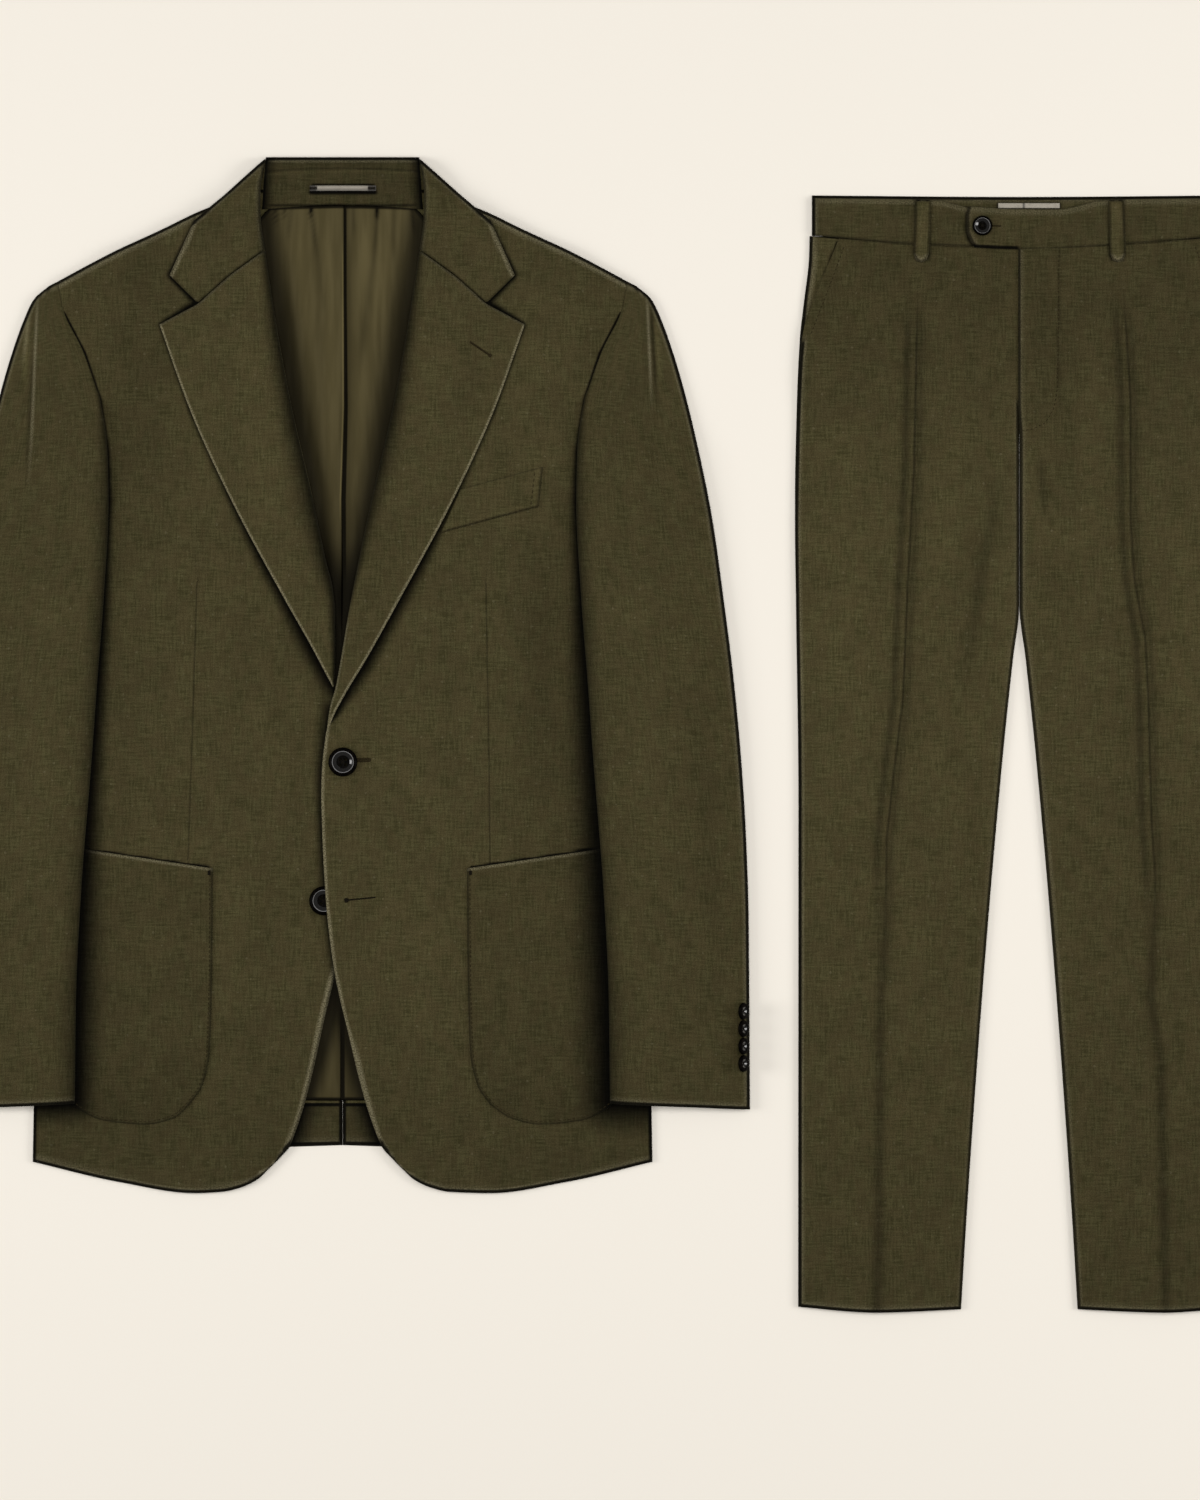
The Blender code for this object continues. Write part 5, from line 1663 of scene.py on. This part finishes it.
LEG_FOLDS = (
    Fold(-24, 255, -48, 400, 10, -1.4),
    Fold(16, 212, 24, 270, 8, -1.3),
    Fold(8, 330, 60, 290, 12, 1.1),
    Fold(-6, 340, -60, 300, 12, 1.0),
    Fold(-40, 60, -56, 300, 18, 1.0),
    Fold(44, 60, 56, 300, 18, 1.0),
    Fold(-140, 180, -146, 520, 20, 1.2),
    Fold(140, 180, 148, 520, 20, 1.2),
    Fold(-60, 420, -76, 820, 14, 1.0),
    Fold(62, 430, 76, 830, 14, 1.0),
    Fold(-140, 560, -146, 860, 16, 0.9),
    Fold(142, 560, 148, 860, 16, 0.9),
)
# Painted light and shade on the front legs: dark streaks in the folds at the crotch and soft lighter and
# darker bands.
LEG_TONES = (
    Fold(-18, 225, -46, 400, 5, -0.24),
    Fold(-30, 260, -62, 430, 16, -0.1),
    Fold(16, 205, 21, 262, 3.6, -0.3),
    Fold(6, 280, 40, 330, 12, -0.1),
    Fold(20, 60, 28, 250, 14, -0.08),
    Fold(-140, 150, -146, 520, 18, 0.06),
    Fold(132, 190, 140, 520, 18, 0.07),
    Fold(-52, 120, -60, 330, 14, 0.05),
    Fold(60, 120, 58, 300, 9, 0.07),
    Fold(31.8, 18, 30.8, 200, 1.3, -0.3),
    Fold(110, 60, 110, 1100, 90, -0.07),
)
LEG_LIGHT_DOWNS = (30, 66, 122, 200, 282, 362, 442, 540, 640, 720, 800, 890)
LEG_LIGHTS = (0.86, 0.83, 0.88, 1.0, 1.07, 1.07, 1.05, 1.01, 0.98, 0.95, 0.92, 0.86)
JAY_STITCH = ((31.6, 42), (31.2, 90), (30, 153.6), (27, 170), (20.4, 180.8), (11, 185.6), (2, 187.2))
MOUTH_STITCH = ((140.4, 39.5), (151.5, 70), (167.5, 111))
BELT_LOOP_SIDES = (74, 81)


def past_crease(x, d):
    """How far across from the leg's pressed crease a place lies."""
    return np.where(x > 0, line_gap(LEFT_CREASE, x, d), line_gap(RIGHT_CREASE, x, d))


def leg_under(x, d, s, t):
    """A front leg lies on the back leg and over the pocket facing, and stands up along its pressed crease."""
    over_facing = (FACING_WALL + GAP) * ease(np.abs(x), 85, 118) * (1 - ease(d, 135, 185))
    swell = LEG_SWELL * bulge(s, 0.35) * bulge(1 - s, 0.35) * ease(d, 45, 150)
    crease = 1.6 * np.exp(-np.abs(past_crease(x, d)) / 11) * ease(d, 45, 110)
    fly = 1.9 * (1 - ease(x, 6, 36)) * (x > 0) * (1 - ease(d, FLY_FOOT - 6, FLY_FOOT + 26))
    folds = folded(LEG_FOLDS, x, d) * ease(d, 60, 120)
    return CLOTH + GAP + over_facing + swell + crease + fly + folds


def belt_loop_shades(side, top, foot):
    """The shade that the belt loop throws to both sides, from top to foot down the garment."""
    return [shade_line(side, NEITHER, (across, top, 5), (across, foot, 5)) for across in BELT_LOOP_SIDES]


def leg_tone(x, d, s, t):
    """Both creases are lit from one side: a soft shade, the pale ridge, and a sharp shade just past it."""
    past = past_crease(x, d)
    sharp = ease(d, 60, 130) * (1 - ease(d, 500, 620))
    lower = ease(d, 500, 620)
    crease = 1 - sharp * (0.42 * hump(past + 5.8, 3.4) + 0.3 * hump(past - 5.0, 3.6))
    crease = crease * (1 - sharp * 0.6 * hump(past - 1.5, 0.95)) * (1 - lower * 0.4 * hump(past - 1, 4.6))
    light = np.interp(d, LEG_LIGHT_DOWNS, LEG_LIGHTS)
    return light * crease * (1 + folded(LEG_TONES, x, d))


back_edges = pattern((Point(HALF_SEAM, SEAT_TOP), Point(HALF_SEAM, 180), *INSEAM), LEG_SIDE, bottom=LEG_HEM)
facing_edges = pattern(
    line_of((126, 35), (150, 128)),
    (Point(167.9, 31.2), *LEG_SIDE[1:3], Point(176.2, 126)),
)
for side, hand in reversed(SIDES):
    leg_back = sew_piece(f"trousers_back_{hand}", TROUSERS_AT, side, back_edges, even(0), CLOTH, cell=(7, 7))
    lay(leg_back, back_edges, [f"trouser_back_{hand}"])
    facing = sew_piece(
        f"trousers_pocket_facing_{hand}", TROUSERS_AT, side, facing_edges, even(CLOTH + GAP), FACING_WALL,
        edge_highlights={OUTER: 0.5},
        outlined={OUTER: 1.0},
        shades=[
            shade_line(side, INWARD, (145.6, 35.6, 2.2), (173.6, 110.5, 2.2), start=0.1),
            shade_line(side, NEITHER, (120, 34, 1.6), (166, 30.4, 1.6), start=0.3),
        ],
    )
    lay(facing, facing_edges, [f"pocket_facing_{hand}"])
    fly = line_of((-FLY_LAP, FLY_TOP), (-FLY_LAP, 160)) if side > 0 else line_of((HALF_SEAM, FLY_TOP))
    leg_inner = (*fly, Point(HALF_SEAM, 196), *INSEAM)
    leg_edges = pattern(leg_inner, FRONT_LEG_SIDE, top=line_of((85, 37.7)), bottom=LEG_HEM)
    leg = sew_piece(
        f"trousers_front_{hand}", TROUSERS_AT, side, leg_edges, leg_under, LEG_WALL,
        cell=(2.6, 4),
        edge_highlights={FOOT: 0.45, INNER: 0.25 if side > 0 else 0.12, OUTER: 0.45},
        outlined={FOOT: 1.0, INNER: 0.85, OUTER: 1.0, TOP: 0.2},
        since={OUTER: 116, INNER: 165 if side < 0 else ALL_ALONG},
        tone=leg_tone,
        shades=belt_loop_shades(side, 36, 48),
        extra=np.arange(0.46, 0.6, 0.005),
    )
    on_leg = surface_of(leg)
    mouth = [(side * x, d) for x, d in MOUTH_STITCH]
    runs = [mouth] if side < 0 else [mouth, JAY_STITCH]
    stitches = sew_stitches(f"trousers_stitches_{hand}", TROUSERS_AT, on_leg, runs, OLIVE_THREAD)
    lay(leg, leg_edges, [f"trouser_front_{hand}"])


# ---------------------------------------------------------------- trousers: the waistband
# The waistband is a firm band of three pieces: the back, and a front on each side. The left front ends in a
# tab that passes over the right and takes the button. A loop for the belt is sewn over it on each side, and a
# bare pale tape is sewn inside the back.

BAND_WALL = 1.8
BAND_TONE = 0.84
LABEL_WALL = 0.7
WAIST_HALF = 166.0
WAIST_TOP = line_of((0, 9.8), (33, 9.5), (48, 6.6), (64, 2.8), (92, 1.6), (WAIST_HALF, 0.8))
WAIST_SEAM = line_of((0, 40.6), (85, 37.2), (WAIST_HALF, 30.4))
TAB_END = line_of((-41, 7.6), (-42.6, 15), (-42.6, 26), (-40.4, 33.4), (-36, 40.4))
TAB_FOOT = line_of((-36, 40.4), (-16, 41.5), (0, 41.8), (85, 37.2))
BACK_BAND_FOOT = 30.8
WAIST_BUTTON = (8.0, 2.6)
WAIST_DISH = {"dish": 0.4, "slope": (0.45, 0.73), "crest": 0.78, "polished": 0.79}
WAIST_BUTTON_AT = (-30.0, 23.2)
TAB_SHADE = ((-40.6, 9, 1.5), (-42, 15, 3), (-42, 26, 4), (-40, 33.4, 4.6), (-36, 39.2, 4))


def tab_band_under(x, d, s, t):
    """The left half's buttoned tab passes over the right half's end."""
    return BAND_WALL + GAP + (BAND_WALL + GAP) * (1 - ease(x, 2, 24))


def belt_loop_under(x, d, s, t):
    on_band = 2 * (BAND_WALL + GAP)
    on_leg = leg_under(x, d, np.full_like(x, 0.5), t) + LEG_WALL + GAP
    return on_band + (on_leg - on_band) * ease(d, 40, 50) + 0.5 * (1 - ease(np.abs(d - 24), 4, 15))


def tab_tone(x, d, s, t):
    """The tab's free lower edge is painted dark, as the shade under it."""
    from_foot = down_of(TAB_FOOT, x) - d
    return BAND_TONE * (1 - 0.95 * (1 - ease(from_foot, 1.8, 3.0)) * (1 - ease(x, -2, 1)))


band_ends = line_of((WAIST_HALF, -1.6), (WAIST_HALF, BACK_BAND_FOOT))
band_back_edges = pattern(mirrored(band_ends), band_ends, top=line_of((0, -0.4)))
waist_line = [(p.across, p.down, 2) for p in WAIST_TOP]
band_back = sew_piece(
    "trousers_waistband_back", TROUSERS_AT, 1, band_back_edges, even(0), BAND_WALL,
    cell=(3.6, 2),
    edge_highlights={TOP: 0.3},
    tone=even(BAND_TONE),
    shades=[
        *(shade_line(turn, NEITHER, *waist_line, start=0.5) for turn in (1, -1)),
        shade_line(1, NEITHER, (-16, 6.6, 4.4), (31, 6.6, 4.4), start=-0.05),
    ],
)
label_edges = pattern(line_of((-17, 4.7), (-17, 8.7)), line_of((32.2, 4.7), (32.2, 8.7)))
label = sew_piece(
    "trousers_waist_label", TROUSERS_AT, 1, label_edges, even(BAND_WALL + GAP), LABEL_WALL,
    material=TAPE,
    cell=(0.8, 0.8),
    outlined={},
    tone=lambda x, d, s, t: 1 - 0.9 * hump(x - 3.4, 0.9),
)
stand_in(label, ["waist_label"])
lay(band_back, band_back_edges, ["waistband_back"])

outer_end = (WAIST_TOP[-1], WAIST_SEAM[-1])
inner_end = (WAIST_TOP[0], WAIST_SEAM[0])
right_band_edges = pattern(inner_end, outer_end, top=WAIST_TOP[1:-1], bottom=WAIST_SEAM[1:-1])
band_right = sew_piece(
    "trousers_waistband_right", TROUSERS_AT, -1, right_band_edges, even(BAND_WALL + GAP), BAND_WALL,
    cell=(2.4, 2.4),
    edge_highlights={TOP: 0.3, OUTER: 0.4},
    outlined={TOP: 0.1, OUTER: 1.0, FOOT: 0.35},
    tone=even(BAND_TONE),
    shades=[shade_line(1, OUTWARD, *TAB_SHADE), *belt_loop_shades(-1, 0, 50)],
)
lay(band_right, right_band_edges, ["waistband_right"])
left_band_edges = pattern(TAB_END, outer_end, top=WAIST_TOP[:-1], bottom=TAB_FOOT[1:])
band_left = sew_piece(
    "trousers_waistband_left", TROUSERS_AT, 1, left_band_edges, tab_band_under, BAND_WALL,
    cell=(2.4, 2.0),
    edge_highlights={TOP: 0.3, OUTER: 0.4, INNER: 0.2},
    outlined={TOP: 0.1, OUTER: 1.0, FOOT: 0.35, INNER: 0.8},
    tone=tab_tone,
    shades=[round_shade(1, WAIST_BUTTON_AT, 11), *belt_loop_shades(1, 0, 50)],
)
lay(band_left, left_band_edges, ["waistband_left"])

belt_loop_edges = pattern(
    line_of((71, 3.4), (71.6, 24), (72.4, 44), (74.4, 50.6)),
    line_of((83.6, 3.4), (84.2, 24), (85, 44), (83, 50.6)),
    bottom=line_of((78.7, 52.2)),
)
for side, hand in SIDES:
    belt_loop = sew_piece(
        f"trousers_belt_loop_{hand}", TROUSERS_AT, side, belt_loop_edges, belt_loop_under, CLOTH,
        cell=(1.2, 1.6),
        edge_highlights={FOOT: 0.4},
        outlined={INNER: 0.5, OUTER: 0.65, FOOT: 0.65, TOP: 0.3},
        # Painted highlight down the loop's rounded middle.
        tone=lambda x, d, s, t: 1.02 + 0.16 * hump(s - 0.5, 0.16),
    )
    lay(belt_loop, belt_loop_edges, [f"belt_loop_{hand}"])

waist_button = turned_button("waist_button", *WAIST_BUTTON, **WAIST_DISH)
on_tab = surface_of(band_left)
sew_button("trousers", "waist_button", waist_button, TROUSERS_AT, on_tab, *WAIST_BUTTON_AT)
waist_hole = ((-27, 23.2), (-15.6, 23.4))
work_buttonhole("trousers_waist_buttonhole", TROUSERS_AT, on_tab, *waist_hole, OLIVE_THREAD, 0.6)
